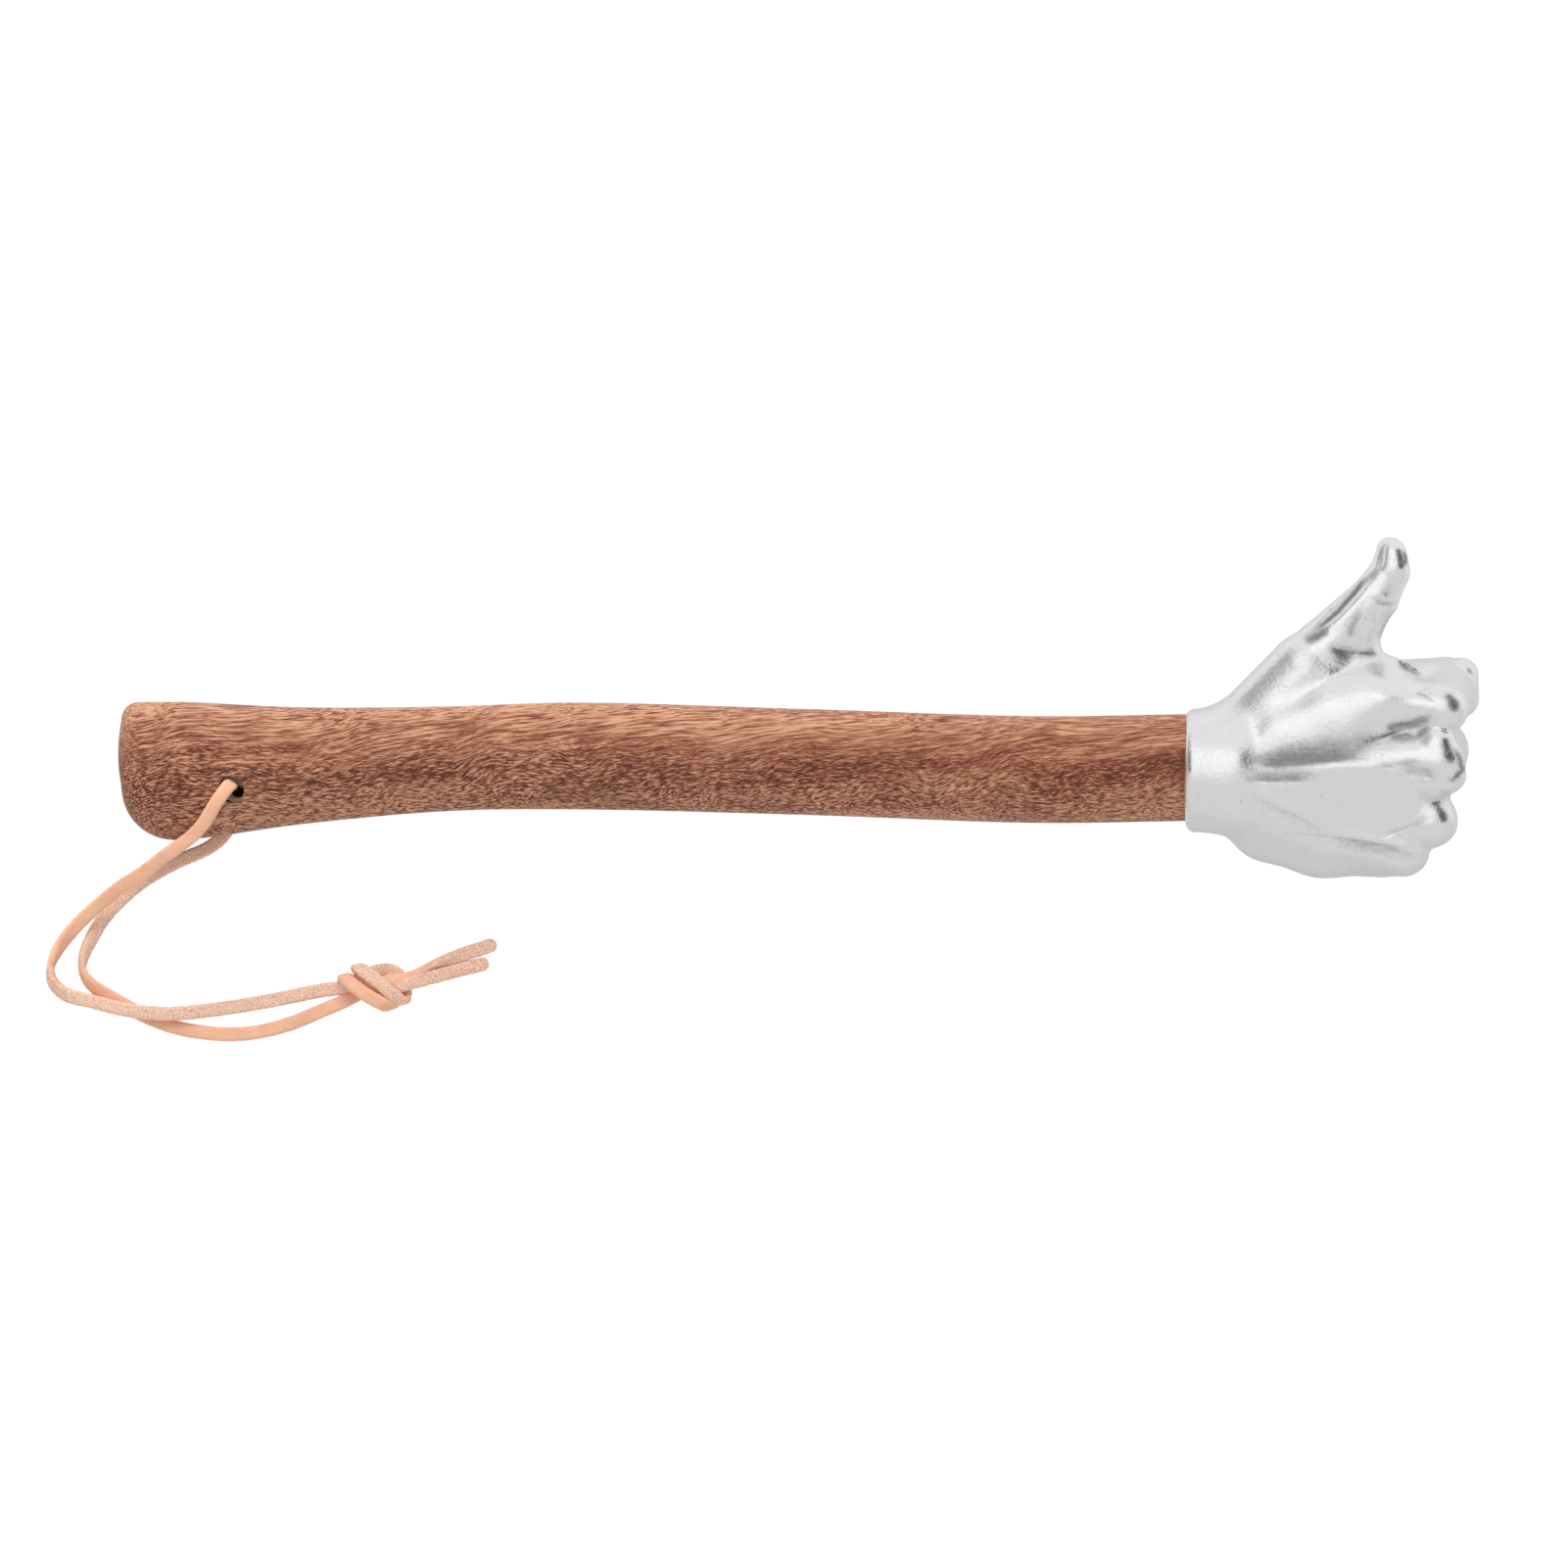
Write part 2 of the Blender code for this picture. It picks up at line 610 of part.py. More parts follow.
def knot_route(side):
    """One half's way through the knot, side 1 for the front half and -1 for the back one, from the hole."""
    rows = []
    for along, across, layer, beside in KNOT_PASSES:
        reach = side * KNOT_PITCH / 2 / math.hypot(*beside)
        height = LACE_DIAMETER / 2 + LACE_LIFT + layer * KNOT_PITCH
        rows.append((along + reach * beside[0], across + reach * beside[1], height))
    rows += FRONT_TAIL if side > 0 else BACK_TAIL
    turn = math.radians(KNOT_TURN_DEG)
    return [
        (
            KNOT_PLACE[0] + along * math.cos(turn) - across * math.sin(turn),
            KNOT_PLACE[1] + along * math.sin(turn) + across * math.cos(turn),
            height,
        )
        for along, across, height in rows
    ]


def lace_points(free_points, side):
    """Points along half a lace: a smooth curve read coarsely on its free run and finely in its knot."""
    dense = smooth_curve(list(free_points) + knot_route(side))
    bend = CURVE_STEPS * LACE_HOLE_ROWS
    tie = CURVE_STEPS * (len(free_points) - 1)
    untie = CURVE_STEPS * (len(free_points) + len(KNOT_PASSES) - 1)
    dense[:, 2] = np.maximum(dense[:, 2], LACE_DIAMETER / 2 + LACE_LIFT)
    return np.vstack(
        [
            evenly(dense[: bend + 1], LACE_KNOT_STEP)[:-1],
            evenly(dense[bend : tie + 1], LACE_STEP)[:-1],
            evenly(dense[tie : untie + 1], LACE_KNOT_STEP)[:-1],
            evenly(dense[untie:], LACE_STEP),
        ]
    )


def make_lace(name, points, parent):
    """Half the thong as one unbroken round tube with closed ends."""
    curve = bpy.data.curves.new(name, "CURVE")
    curve.dimensions = "3D"
    curve.bevel_depth = LACE_DIAMETER / 2
    curve.bevel_resolution = LACE_BEVEL_RESOLUTION
    curve.use_fill_caps = True
    spline = curve.splines.new("POLY")
    spline.points.add(len(points) - 1)
    spline.points.foreach_set("co", np.hstack([points, np.ones((len(points), 1))]).ravel())
    lace = bpy.data.objects.new(name, curve)
    lace.parent = parent
    bpy.context.collection.objects.link(lace)
    return lace


def least_gap(first, second):
    """The least clear space between two tubes, or along one tube past its own bends, measured on points."""
    fine_first = evenly(first, LACE_KNOT_STEP / 2)
    fine_second = evenly(second, LACE_KNOT_STEP / 2)
    spans = np.linalg.norm(fine_first[:, None] - fine_second[None], axis=2)
    if first is second:
        places = np.arange(len(fine_first))
        near = np.abs(places[:, None] - places[None]) * LACE_KNOT_STEP / 2 < LACE_BEND_REACH * LACE_DIAMETER
        spans[near] = np.inf
    return spans.min() - LACE_DIAMETER


def make_thong(carrier):
    """Both halves of the thong on an empty that stands on the hole's upright axis."""
    along, across = hole_place()
    hole = carrier.matrix_world @ Vector((along, across, 0.0))
    upper_mouth = carrier.matrix_world @ Vector((along, across, hole_mouth()))
    pivot = empty_at("thong_pivot", (hole.x, hole.y, 0.0))
    front = [(0.0, 0.0, hole.z + FIT_GAP / 2)]
    front += [(x, y, z + upper_mouth.z) for x, y, z in FRONT_OVER_HANDLE]
    front += FRONT_ON_SURFACE
    back = [(0.0, 0.0, hole.z - FIT_GAP / 2)]
    back += BACK_ON_SURFACE
    front_points = lace_points(front, 1)
    back_points = lace_points(back, -1)
    for name, first, second in (
        ("front half to itself", front_points, front_points),
        ("back half to itself", back_points, back_points),
        ("front half to back half, past the hole", front_points[LACE_HOLE_ROWS:], back_points[LACE_HOLE_ROWS:]),
    ):
        print(f"least gap, {name}: {1000 * least_gap(first, second):.2f} mm")
    print("thong turns about the upright line through", tuple(round(value, 5) for value in hole))
    return make_lace("thong_front", front_points, pivot), make_lace("thong_back", back_points, pivot)


def shade_round(piece, crease_deg):
    """Shades a mesh piece smooth, with its real edges left sharp."""
    piece.data.shade_smooth()
    piece.data.set_sharp_from_angle(angle=math.radians(crease_deg))


def main():
    clear_scene()
    carrier = empty_at("mallet")
    handle = make_handle(carrier)
    fist = make_fist(carrier)
    stud = make_stud(carrier)
    lay_down(carrier, fist, handle)
    laces = make_thong(carrier)
    for piece, crease_deg in ((handle, HANDLE_CREASE_DEG), (fist, FIST_CREASE_DEG), (stud, STUD_CREASE_DEG)):
        shade_round(piece, crease_deg)
    handle.data.materials.append(finish_of("brown_wood", BROWN_WOOD))
    fist.data.materials.append(finish_of("cast_aluminium", CAST_ALUMINIUM))
    stud.data.materials.append(finish_of("plain_steel", PLAIN_STEEL))
    leather = finish_of("tan_leather", TAN_LEATHER)
    for lace in laces:
        lace.data.materials.append(leather)


main()
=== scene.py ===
"""Fist-headed mallet with a leather thong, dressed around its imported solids.

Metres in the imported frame. Tables of shapes are in millimetres. The hand, the handle and the lace are
drawn in numpy: the hand as one distance field over its bones, the handle as rings and the lace as a
flat strip.
"""

import math

import bpy
import numpy as np
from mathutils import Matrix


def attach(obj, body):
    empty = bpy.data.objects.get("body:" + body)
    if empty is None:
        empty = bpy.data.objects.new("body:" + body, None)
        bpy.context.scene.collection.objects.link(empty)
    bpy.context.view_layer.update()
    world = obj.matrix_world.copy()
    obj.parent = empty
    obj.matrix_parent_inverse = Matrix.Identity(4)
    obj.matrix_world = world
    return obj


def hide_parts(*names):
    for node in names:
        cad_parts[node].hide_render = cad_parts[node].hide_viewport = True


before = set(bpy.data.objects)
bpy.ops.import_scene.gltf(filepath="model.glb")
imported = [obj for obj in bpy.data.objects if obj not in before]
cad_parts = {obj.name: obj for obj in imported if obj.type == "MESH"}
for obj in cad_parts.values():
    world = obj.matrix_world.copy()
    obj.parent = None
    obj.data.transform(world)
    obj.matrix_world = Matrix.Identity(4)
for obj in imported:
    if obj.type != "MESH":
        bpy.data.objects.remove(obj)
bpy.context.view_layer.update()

bl_info = {
    "name": "Fist Mallet",
    "version": (1, 0, 0),
    "blender": (4, 5, 0),
    "location": "3D View > Sidebar > Mallet",
    "description": "Dresses a packed mallet with a cast fist, a wooden handle and a leather thong",
    "category": "Add Mesh",
}

MM = 0.001

# Where the mallet lies: the hidden stud's middle is this far past the collar's face, along the handle's axis
STUD_MIDDLE = 14.0

# Bones of the hand, each (along the handle, towards the thumb, towards the back of the hand, radius)
FINGERS = {
    "index": (
        (62.8, 15.0, 8.0, 6.0),
        (62.4, 19.8, -11.6, 7.7),
        (45.0, 19.4, -18.4, 7.2),
        (38.0, 17.0, -8.0, 5.5),
    ),
    "index edge": ((66.4, 23.2, -10.0, 4.2), (65.6, 17.8, -11.0, 5.2)),
    "middle": (
        (62.0, 2.2, 8.4, 6.0),
        (60.4, 5.0, -13.0, 7.6),
        (42.0, 5.0, -18.8, 7.0),
        (35.0, 5.6, -9.0, 5.6),
    ),
    "middle ridge": ((61.4, 6.4, 9.8, 4.4), (64.0, -1.2, 8.8, 4.2)),
    "ring": (
        (60.2, -12.4, 5.2, 5.8),
        (57.4, -11.4, -13.2, 7.4),
        (40.5, -8.6, -18.9, 6.9),
        (34.0, -6.0, -9.0, 5.5),
    ),
    "little": (
        (53.0, -19.2, 1.6, 5.8),
        (52.2, -19.2, -11.6, 6.4),
        (38.0, -18.2, -16.2, 6.3),
        (32.0, -15.0, -8.0, 5.0),
    ),
}
THUMB = (
    (14.0, 8.0, 1.0, 9.8),
    (29.4, 24.6, 2.2, 9.0),
    (33.2, 28.8, 2.5, 7.6),
    (45.9, 41.9, 2.5, 5.9),
    (49.4, 48.0, 2.8, 4.9),
    (49.6, 53.2, 3.0, 3.4),
)
THUMB_PAD = ((50.4, 52.6, 4.4, 3.2), (50.8, 49.0, 4.6, 3.6))
THUMB_WEB = (
    ((33.0, 26.0, 2.0, 6.0), (41.0, 27.0, 1.5, 5.0)),
    ((44.0, 38.0, 2.0, 4.6), (41.0, 27.0, 1.5, 5.0)),
    ((41.0, 27.0, 1.5, 5.0), (48.0, 20.0, 1.0, 6.5)),
    ((18.0, 10.0, 0.0, 8.5), (48.0, 20.0, 1.0, 6.5)),
    ((48.0, 20.0, 1.0, 6.5), (60.0, 20.2, -8.0, 6.4)),
    ((24.0, 10.0, 5.0, 8.0), (46.0, 17.0, 6.4, 7.2)),
)
PALM_HEEL = (
    ((21.0, -10.5, -5.0, 12.0), (33.0, -14.2, -6.0, 11.2)),
    ((33.0, -14.2, -6.0, 11.2), (47.0, -16.4, -6.0, 9.5)),
    ((20.0, 9.0, -7.0, 11.0), (42.0, 12.0, -8.0, 9.0)),
    ((24.0, 0.0, -6.0, 12.0), (46.0, 0.0, -7.0, 10.0)),
)
METACARPALS = (
    ((16.0, 6.2, 4.6, 7.2), (40.0, 9.8, 7.2, 7.2)),
    ((36.0, 15.0, 5.4, 7.4), (59.0, 15.2, 7.2, 6.2)),
    ((10.0, 1.0, 7.0, 8.0), (60.6, 2.4, 8.0, 6.4)),
    ((12.0, -1.6, 6.4, 8.0), (58.0, -5.0, 5.4, 6.4)),
    ((10.0, -4.0, 5.6, 8.0), (58.8, -12.2, 3.6, 6.0)),
    ((10.0, -6.0, 4.0, 7.6), (52.4, -19.0, 1.4, 5.6)),
)
COLLAR_RADIUS = 15.0
COLLAR_REACH = 14.6
COLLAR_LIP = 2.2

# Skin of the hand: room round its bones, turns of drawing it to the carved shape, and the least slope there
SKIN_MARGIN = 1.5
DRAWING_TURNS = 4
LEAST_SLOPE = 0.25

# Relief on the back of the hand, which fades in from this height over this rise
BACK_FROM = -1.0
BACK_RISE = 4.0

# Its strokes: plan points, width left and right of the line, height, and how dark it is: painted shade in
# grooves and hollows, and painted dark reflections on the knuckles and the thumb's tip
RELIEF = {
    "thumb valley": (
        ((9.6, 13.5), (13.9, 15.4), (18.2, 18.3), (22.0, 22.1), (24.8, 24.9), (29.6, 27.4)),
        2.6, 2.4, -0.15, 0.30,
    ),
    "thumb hollow": (((23.8, 24.8), (31.5, 27.0), (38.0, 27.0), (44.0, 26.0)), 2.4, 2.4, -0.08, 0.12),
    "rough patch": (((26.2, 19.0), (31.5, 21.9), (35.3, 23.0), (38.6, 24.0)), 2.0, 2.0, 0.12, 0.08),
    "web fill": (((32.0, 26.8), (36.0, 25.4), (40.0, 24.9), (44.0, 25.2), (48.0, 25.0)), 2.8, 2.8, 0.6, 0.0),
    "thumb wedge": (((28.4, 30.8), (32.0, 32.4), (36.0, 34.4)), 1.3, 1.1, -0.2, 0.85),
    "main band": (
        ((12.4, 3.6), (17.2, 2.2), (21.9, 1.5), (29.1, 2.0), (36.2, 2.8), (46.9, 2.8)),
        2.7, 0.9, -0.45, 0.92,
    ),
    "band shade": (((14.0, 4.4), (24.0, 4.2), (36.2, 5.8), (46.0, 6.4), (55.0, 6.0)), 3.0, 3.0, -0.1, 0.5),
    "band crest": (((29.1, 0.4), (38.6, 1.4), (45.8, 1.2), (51.7, 1.0)), 0.5, 1.2, 0.15, 0.0),
    "band tail": (((45.0, 0.6), (51.0, 1.2), (58.8, 2.8)), 0.6, 0.5, -0.2, 0.4),
    "second strip": (((13.4, -2.2), (21.9, -2.7), (32.9, -2.5)), 1.4, 0.3, -0.3, 0.65),
    "strip shade": (((12.0, -0.6), (22.0, -0.6), (36.0, -0.4)), 2.2, 1.8, 0.0, 0.35),
    "wrist crest": (((13.4, -3.6), (19.6, -6.2), (26.7, -9.5), (38.4, -16.2)), 1.2, 1.6, 0.5, 0.0),
    "wrist crease": (
        ((14.0, -4.8), (20.0, -7.6), (27.0, -11.0), (34.0, -14.8), (38.8, -17.2)),
        0.5, 1.6, -0.2, 0.2,
    ),
    "little edge": (
        ((21.9, -14.8), (31.5, -15.2), (41.0, -16.2), (50.5, -17.9), (59.1, -20.2)),
        1.6, 0.4, 0.6, 0.0,
    ),
    "under edge": (((33.5, -16.0), (41.0, -17.0), (50.5, -18.7), (58.6, -20.9)), 0.4, 2.2, -0.5, 0.4),
    "index tendon": (((43.2, 17.2), (50.5, 17.4), (57.7, 16.4), (62.4, 14.8)), 2.6, 2.0, 0.6, 0.0),
    "tendon crease": (((55.6, 19.2), (58.6, 17.9), (61.8, 16.2)), 0.4, 0.4, -0.25, 0.5),
    "tendon valley": (
        ((48.0, 9.6), (51.4, 10.6), (55.5, 11.6), (58.5, 12.5), (61.9, 13.8)),
        1.1, 1.7, -0.8, 0.6,
    ),
    "valley shade": (((47.0, 9.6), (54.0, 9.6), (60.0, 10.6)), 2.2, 2.2, -0.2, 0.2),
    "middle hollow": (((52.0, 0.4), (56.0, -0.1), (59.4, -1.0), (62.6, -2.2)), 1.8, 1.2, -0.7, 0.4),
    "index shade": (((62.6, 19.2), (64.4, 17.8), (65.6, 15.8), (65.6, 13.4)), 0.8, 1.2, -0.1, 0.85),
    "ring gap": (((55.3, -6.0), (60.5, -6.9), (66.2, -6.9)), 1.6, 1.6, -0.5, 0.25),
    "ring crease": (((46.2, -16.7), (51.7, -14.5), (56.5, -12.6), (61.0, -11.0)), 0.6, 0.5, -0.4, 0.3),
    "web fold": (((48.6, 28.2), (53.4, 26.0), (57.2, 24.6), (60.4, 22.8)), 0.5, 0.4, 0.6, 0.0),
    "under fold": (((50.6, 26.4), (54.4, 24.6), (58.6, 22.8)), 0.4, 0.8, -0.35, 0.7),
    "thumb root": (((34.5, 30.4), (40.0, 29.0), (44.0, 28.2), (48.6, 27.4)), 1.0, 1.0, -0.5, 0.5),
    "nail edge": (((48.6, 55.2), (48.0, 52.5), (47.7, 50.0), (47.6, 48.2)), 0.4, 1.0, -0.5, 0.35),
    "thumb step": (
        ((47.4, 48.4), (43.4, 45.6), (40.8, 42.6), (37.4, 38.8), (33.6, 35.4), (29.1, 32.4)),
        0.6, 0.9, -0.8, 0.95,
    ),
    "thumb crest": (
        ((46.8, 46.9), (44.3, 44.0), (41.3, 40.0), (37.5, 36.2), (33.0, 32.8)),
        1.2, 0.8, 0.35, 0.0,
    ),
    "thumb crease": (((44.5, 42.3), (47.5, 41.0), (50.0, 40.2), (52.6, 40.8)), 0.5, 0.5, -0.35, 0.4),
    "thumb plane": (((43.4, 39.5), (41.2, 35.5), (39.6, 31.5)), 0.9, 0.9, -0.3, 0.45),
    "thumb rib": (((46.6, 38.0), (44.9, 33.6), (43.4, 30.0)), 0.9, 0.9, 0.4, 0.0),
    "thumb side": (((51.4, 39.0), (49.2, 34.4), (47.6, 30.2)), 1.2, 1.8, -0.25, 0.6),
    "tip shade": (((52.6, 54.0), (53.6, 51.6), (53.0, 48.6)), 0.6, 1.0, 0.0, 0.8),
    "middle shade": (((64.6, 6.8), (66.6, 3.6), (67.4, 0.2), (65.2, -2.2), (62.4, -1.8)), 0.7, 0.7, 0.0, 0.8),
    "collar end": (((12.2, 7.8), (12.7, 2.8), (12.2, -2.4)), 1.8, 1.8, 0.1, 0.08),
    "collar rim": (((1.4, 5.6), (1.5, 2.4), (1.4, -1.6)), 0.5, 0.5, 0.0, 0.8),
}

# Handle: rows of (from the butt, bow, height, thickness), and the rounding of its butt
HANDLE_LENGTH = 259.1
HANDLE_ROWS = (
    (0.0, -0.3, 33.4, 24.2),
    (16.0, -0.3, 33.4, 24.2),
    (45.0, 1.0, 28.3, 22.6),
    (80.0, 2.7, 25.4, 21.2),
    (110.0, 3.4, 25.9, 21.8),
    (166.6, 2.0, 25.7, 23.5),
    (223.1, 0.2, 25.9, 25.2),
    (259.6, 0.7, 25.9, 25.2),
)
BUTT_DOME = 0.9
BUTT_UPPER_RADIUS = 4.0
BUTT_LOWER_RADIUS = 12.5
BUTT_FACE_RADIUS = 5.0
BUTT_CORNER_RINGS = 18
BUTT_DOME_RINGS = 8
BUTT_DOME_SPREAD = (0.12, 0.94)
SQUARENESS = 2.3
HANDLE_CREASE_DEG = 38.0

# Thong hole, and the drill that makes it. Its wall is the faces this near to it that hardly point along it.
HOLE_RADIUS = 3.2
HOLE_FROM_BUTT = 28.0
HOLE_DROP = 4.9
DRILL_SIDES = 64
DRILL_REACH = 30.0
WALL_REACH = 1.01
WALL_TILT = 0.3

# Lace: its front half over the handle, above the hole's upper mouth, and then both halves on the surface.
# Rows are (towards the head, towards the thumb, height, lean), from the hole.
# A lean of 0 shows the grain side and 180 the flesh side.
FRONT_OVER_HANDLE = (
    (-0.3, 1.35, -4.0, 0.0),
    (-0.35, 1.4, -1.6, 0.0),
    (-0.65, 1.25, -0.6, 0.0),
    (-1.3, 0.6, 0.4, 0.0),
    (-2.5, -0.9, 1.0, 0.0),
    (-3.8, -2.8, 0.85, 0.0),
    (-5.3, -5.2, 0.1, 0.0),
    (-7.1, -8.2, -0.9, 0.0),
    (-9.9, -11.3, -2.6, 0.0),
)
FRONT_ON_SURFACE = (
    (-16.9, -16.4, 18.8, 0.0),
    (-21.6, -20.0, 15.0, 0.0),
    (-27.6, -23.8, 10.3, 0.0),
    (-32.3, -27.6, 6.3, 0.0),
    (-37.1, -31.9, 3.7, 10.0),
    (-40.7, -35.9, 2.3, 30.0),
    (-43.5, -40.2, 1.8, 60.0),
    (-44.7, -43.8, 1.8, 95.0),
    (-43.8, -47.3, 1.6, 130.0),
    (-40.7, -49.9, 1.6, 160.0),
    (-34.7, -51.4, 2.8, 180.0),
    (-28.8, -53.0, 3.3, 180.0),
    (-21.6, -54.2, 3.4, 180.0),
    (-14.5, -54.5, 3.1, 180.0),
    (-5.0, -53.5, 1.8, 180.0),
    (4.5, -52.1, 1.1, 180.0),
    (14.0, -50.3, 1.3, 180.0),
    (21.2, -48.8, 2.2, 180.0),
)
BACK_ON_SURFACE = (
    (1.1, -0.5, 7.4, 180.0),
    (1.5, -0.6, 4.6, 180.0),
    (1.4, -1.1, 2.4, 180.0),
    (1.0, -2.6, 1.3, 180.0),
    (0.5, -4.6, 1.1, 180.0),
    (-0.6, -7.6, 1.1, 180.0),
    (-2.6, -11.2, 1.1, 180.0),
    (-6.2, -14.2, 1.1, 180.0),
    (-12.1, -16.8, 1.1, 180.0),
    (-18.1, -19.8, 1.1, 180.0),
    (-22.8, -22.8, 1.1, 180.0),
    (-26.9, -26.2, 1.1, 180.0),
    (-31.2, -30.7, 1.2, 188.0),
    (-34.2, -35.4, 1.4, 205.0),
    (-36.4, -40.2, 1.6, 240.0),
    (-36.9, -43.8, 1.7, 275.0),
    (-35.2, -46.8, 1.6, 310.0),
    (-32.3, -49.2, 1.3, 340.0),
    (-27.6, -51.8, 1.1, 360.0),
    (-22.8, -54.5, 1.1, 360.0),
    (-18.1, -56.6, 1.1, 360.0),
    (-12.1, -58.3, 1.1, 360.0),
    (-6.2, -59.2, 1.1, 360.0),
    (-0.2, -59.5, 1.1, 360.0),
    (6.9, -58.7, 1.1, 360.0),
    (14.0, -56.8, 1.3, 360.0),
    (19.5, -54.5, 2.0, 360.0),
)

# Overhand knot in both halves. Its passes are (along, across, layer, way from the back half to the front half
# beside it, outward turn).
KNOT_PLACE = (34.0, -48.0)
KNOT_TURN_DEG = 12.0
KNOT_PITCH = 3.5
KNOT_LAYER = 2.1
KNOT_LOWEST = 1.0
KNOT_PASSES = (
    (-6.4, 0.0, 1.0, (0.00, 0.85), 90.0),
    (-2.4, 1.3, 0.7, (0.00, 0.85), 90.0),
    (1.4, 2.2, 0.6, (0.15, 0.80), 90.0),
    (4.3, 1.8, 0.7, (0.50, 0.65), 90.0),
    (5.7, -0.2, 0.9, (0.80, 0.20), 100.0),
    (5.6, -3.2, 1.0, (0.80, 0.05), 135.0),
    (4.9, -5.3, 2.0, (0.80, 0.13), 180.0),
    (3.2, -4.2, 3.0, (0.88, 0.30), 120.0),
    (-0.3, -0.4, 3.3, (1.12, 0.58), 90.0),
    (-3.4, 3.0, 3.0, (1.12, 0.55), 65.0),
    (-4.9, 4.8, 1.5, (1.08, 0.47), 0.0),
    (-3.6, 3.0, 0.0, (0.90, 0.43), -80.0),
    (-2.0, 0.6, 0.0, (0.92, 0.40), -90.0),
    (0.0, -1.4, 0.0, (0.95, 0.30), -100.0),
    (1.3, -2.8, 1.0, (1.00, 0.00), -180.0),
    (2.2, -1.8, 2.0, (0.90, -0.43), -250.0),
    (4.0, -0.4, 2.3, (0.50, -0.60), -270.0),
)
FRONT_TAIL = (
    (7.6, -0.9, 5.8, 0.0),
    (11.0, -0.7, 4.2, 0.0),
    (16.0, -0.5, 2.6, 0.0),
    (22.0, -0.2, 1.2, 0.0),
    (28.4, 0.0, 1.1, 0.0),
)
BACK_TAIL = (
    (6.8, 0.9, 4.6, 75.0),
    (10.0, 1.1, 3.4, 90.0),
    (13.5, 1.8, 2.6, 105.0),
    (18.5, 2.7, 1.9, 135.0),
    (24.0, 3.4, 1.3, 165.0),
    (31.2, 4.1, 1.1, 180.0),
)

# Strip of lace: its rings and points, powers that flatten it, gaps to the floor, cut end and frayed edges
LACE_STEP = 0.5
LACE_SIDES = 24
LACE_CREASE_DEG = 60.0
LACE_EASING = 8
FACE_POWER = 0.40
EDGE_POWER = 0.62
LINE_GAP = 0.1
SKIN_GAP = 0.05
TAIL_ROUND = 1.5
EDGE_FRAY = 0.14
FRAYED_FROM = 0.46

# The halves start this far from the middle of the hole, and the front one faces this way there
HALF_GAP = 0.15
FRONT_FACING = (0.6, 0.8)

# Photograph's frame: 1601 pixels across this field, seen from straight above
FIELD = 0.3807
VIEW_CENTRE = (-0.00369, -0.01855)
CAMERA_HEIGHT = 12.0

# Stage: the floor's half width, the soft lamp, and the middle of the hand in the mallet's frame
FLOOR_HALF = 3.0
LAMP_PLACE = (-0.25, 1.05, 0.75)
LAMP_SIZE = 0.9
HAND_MIDDLE = (35.0, 5.0, 0.0)


class HandSettings(bpy.types.PropertyGroup):
    """Sizes and finish of the cast hand."""

    step: bpy.props.FloatProperty(
        name="Skin step", description="Spacing of the skin's points", default=0.00055, unit="LENGTH"
    )
    tone: bpy.props.FloatVectorProperty(
        name="Metal", description="Colour of the bare casting", default=(0.90, 0.895, 0.90), subtype="COLOR"
    )
    # Colour of the painted shade and painted dark reflections in the hand's grooves and on its knuckles
    painted_shade_tone: bpy.props.FloatVectorProperty(
        name="Recess",
        description="Colour of recesses that tumbling missed",
        default=(0.30, 0.295, 0.30),
        subtype="COLOR",
    )


class HandleSettings(bpy.types.PropertyGroup):
    """Sizes and finish of the wooden handle."""

    sides: bpy.props.IntProperty(name="Sides", description="Points round each ring", default=128)
    ring_step: bpy.props.FloatProperty(
        name="Ring step", description="Spacing of the rings", default=0.0016, unit="LENGTH"
    )
    dark: bpy.props.FloatVectorProperty(
        name="Dark wood",
        description="Colour of pores and dark figure",
        default=(0.090, 0.027, 0.017),
        subtype="COLOR",
    )
    red: bpy.props.FloatVectorProperty(
        name="Red wood", description="Colour beside the pores", default=(0.195, 0.056, 0.029), subtype="COLOR"
    )
    middle: bpy.props.FloatVectorProperty(
        name="Brown wood",
        description="Main colour of the wood",
        default=(0.325, 0.119, 0.065),
        subtype="COLOR",
    )
    pale: bpy.props.FloatVectorProperty(
        name="Golden wood",
        description="Colour of the light streaks",
        default=(0.62, 0.340, 0.208),
        subtype="COLOR",
    )


class ThongSettings(bpy.types.PropertyGroup):
    """Sizes and finish of the leather lace."""

    width: bpy.props.FloatProperty(name="Width", description="Lace's width", default=0.0032, unit="LENGTH")
    thickness: bpy.props.FloatProperty(
        name="Thickness", description="Lace's thickness", default=0.0019, unit="LENGTH"
    )
    grain: bpy.props.FloatVectorProperty(
        name="Grain side",
        description="Colour of the smooth side",
        default=(0.92, 0.52, 0.335),
        subtype="COLOR",
    )
    flesh: bpy.props.FloatVectorProperty(
        name="Flesh side",
        description="Colour of the rough side",
        default=(0.91, 0.605, 0.465),
        subtype="COLOR",
    )


class StageSettings(bpy.types.PropertyGroup):
    """Floor and light."""

    floor_tone: bpy.props.FloatVectorProperty(
        name="Floor", description="Colour of the floor", default=(0.90, 0.90, 0.90), subtype="COLOR"
    )
    floor_mirror: bpy.props.FloatProperty(
        name="Floor in metal", description="How light the floor looks in reflections", default=0.63
    )
    tent: bpy.props.FloatProperty(
        name="Tent", description="Light of the tent's walls in reflections", default=0.72
    )
    lamp: bpy.props.FloatProperty(
        name="Lamp", description="Power of the soft lamp", default=11.0, unit="POWER"
    )


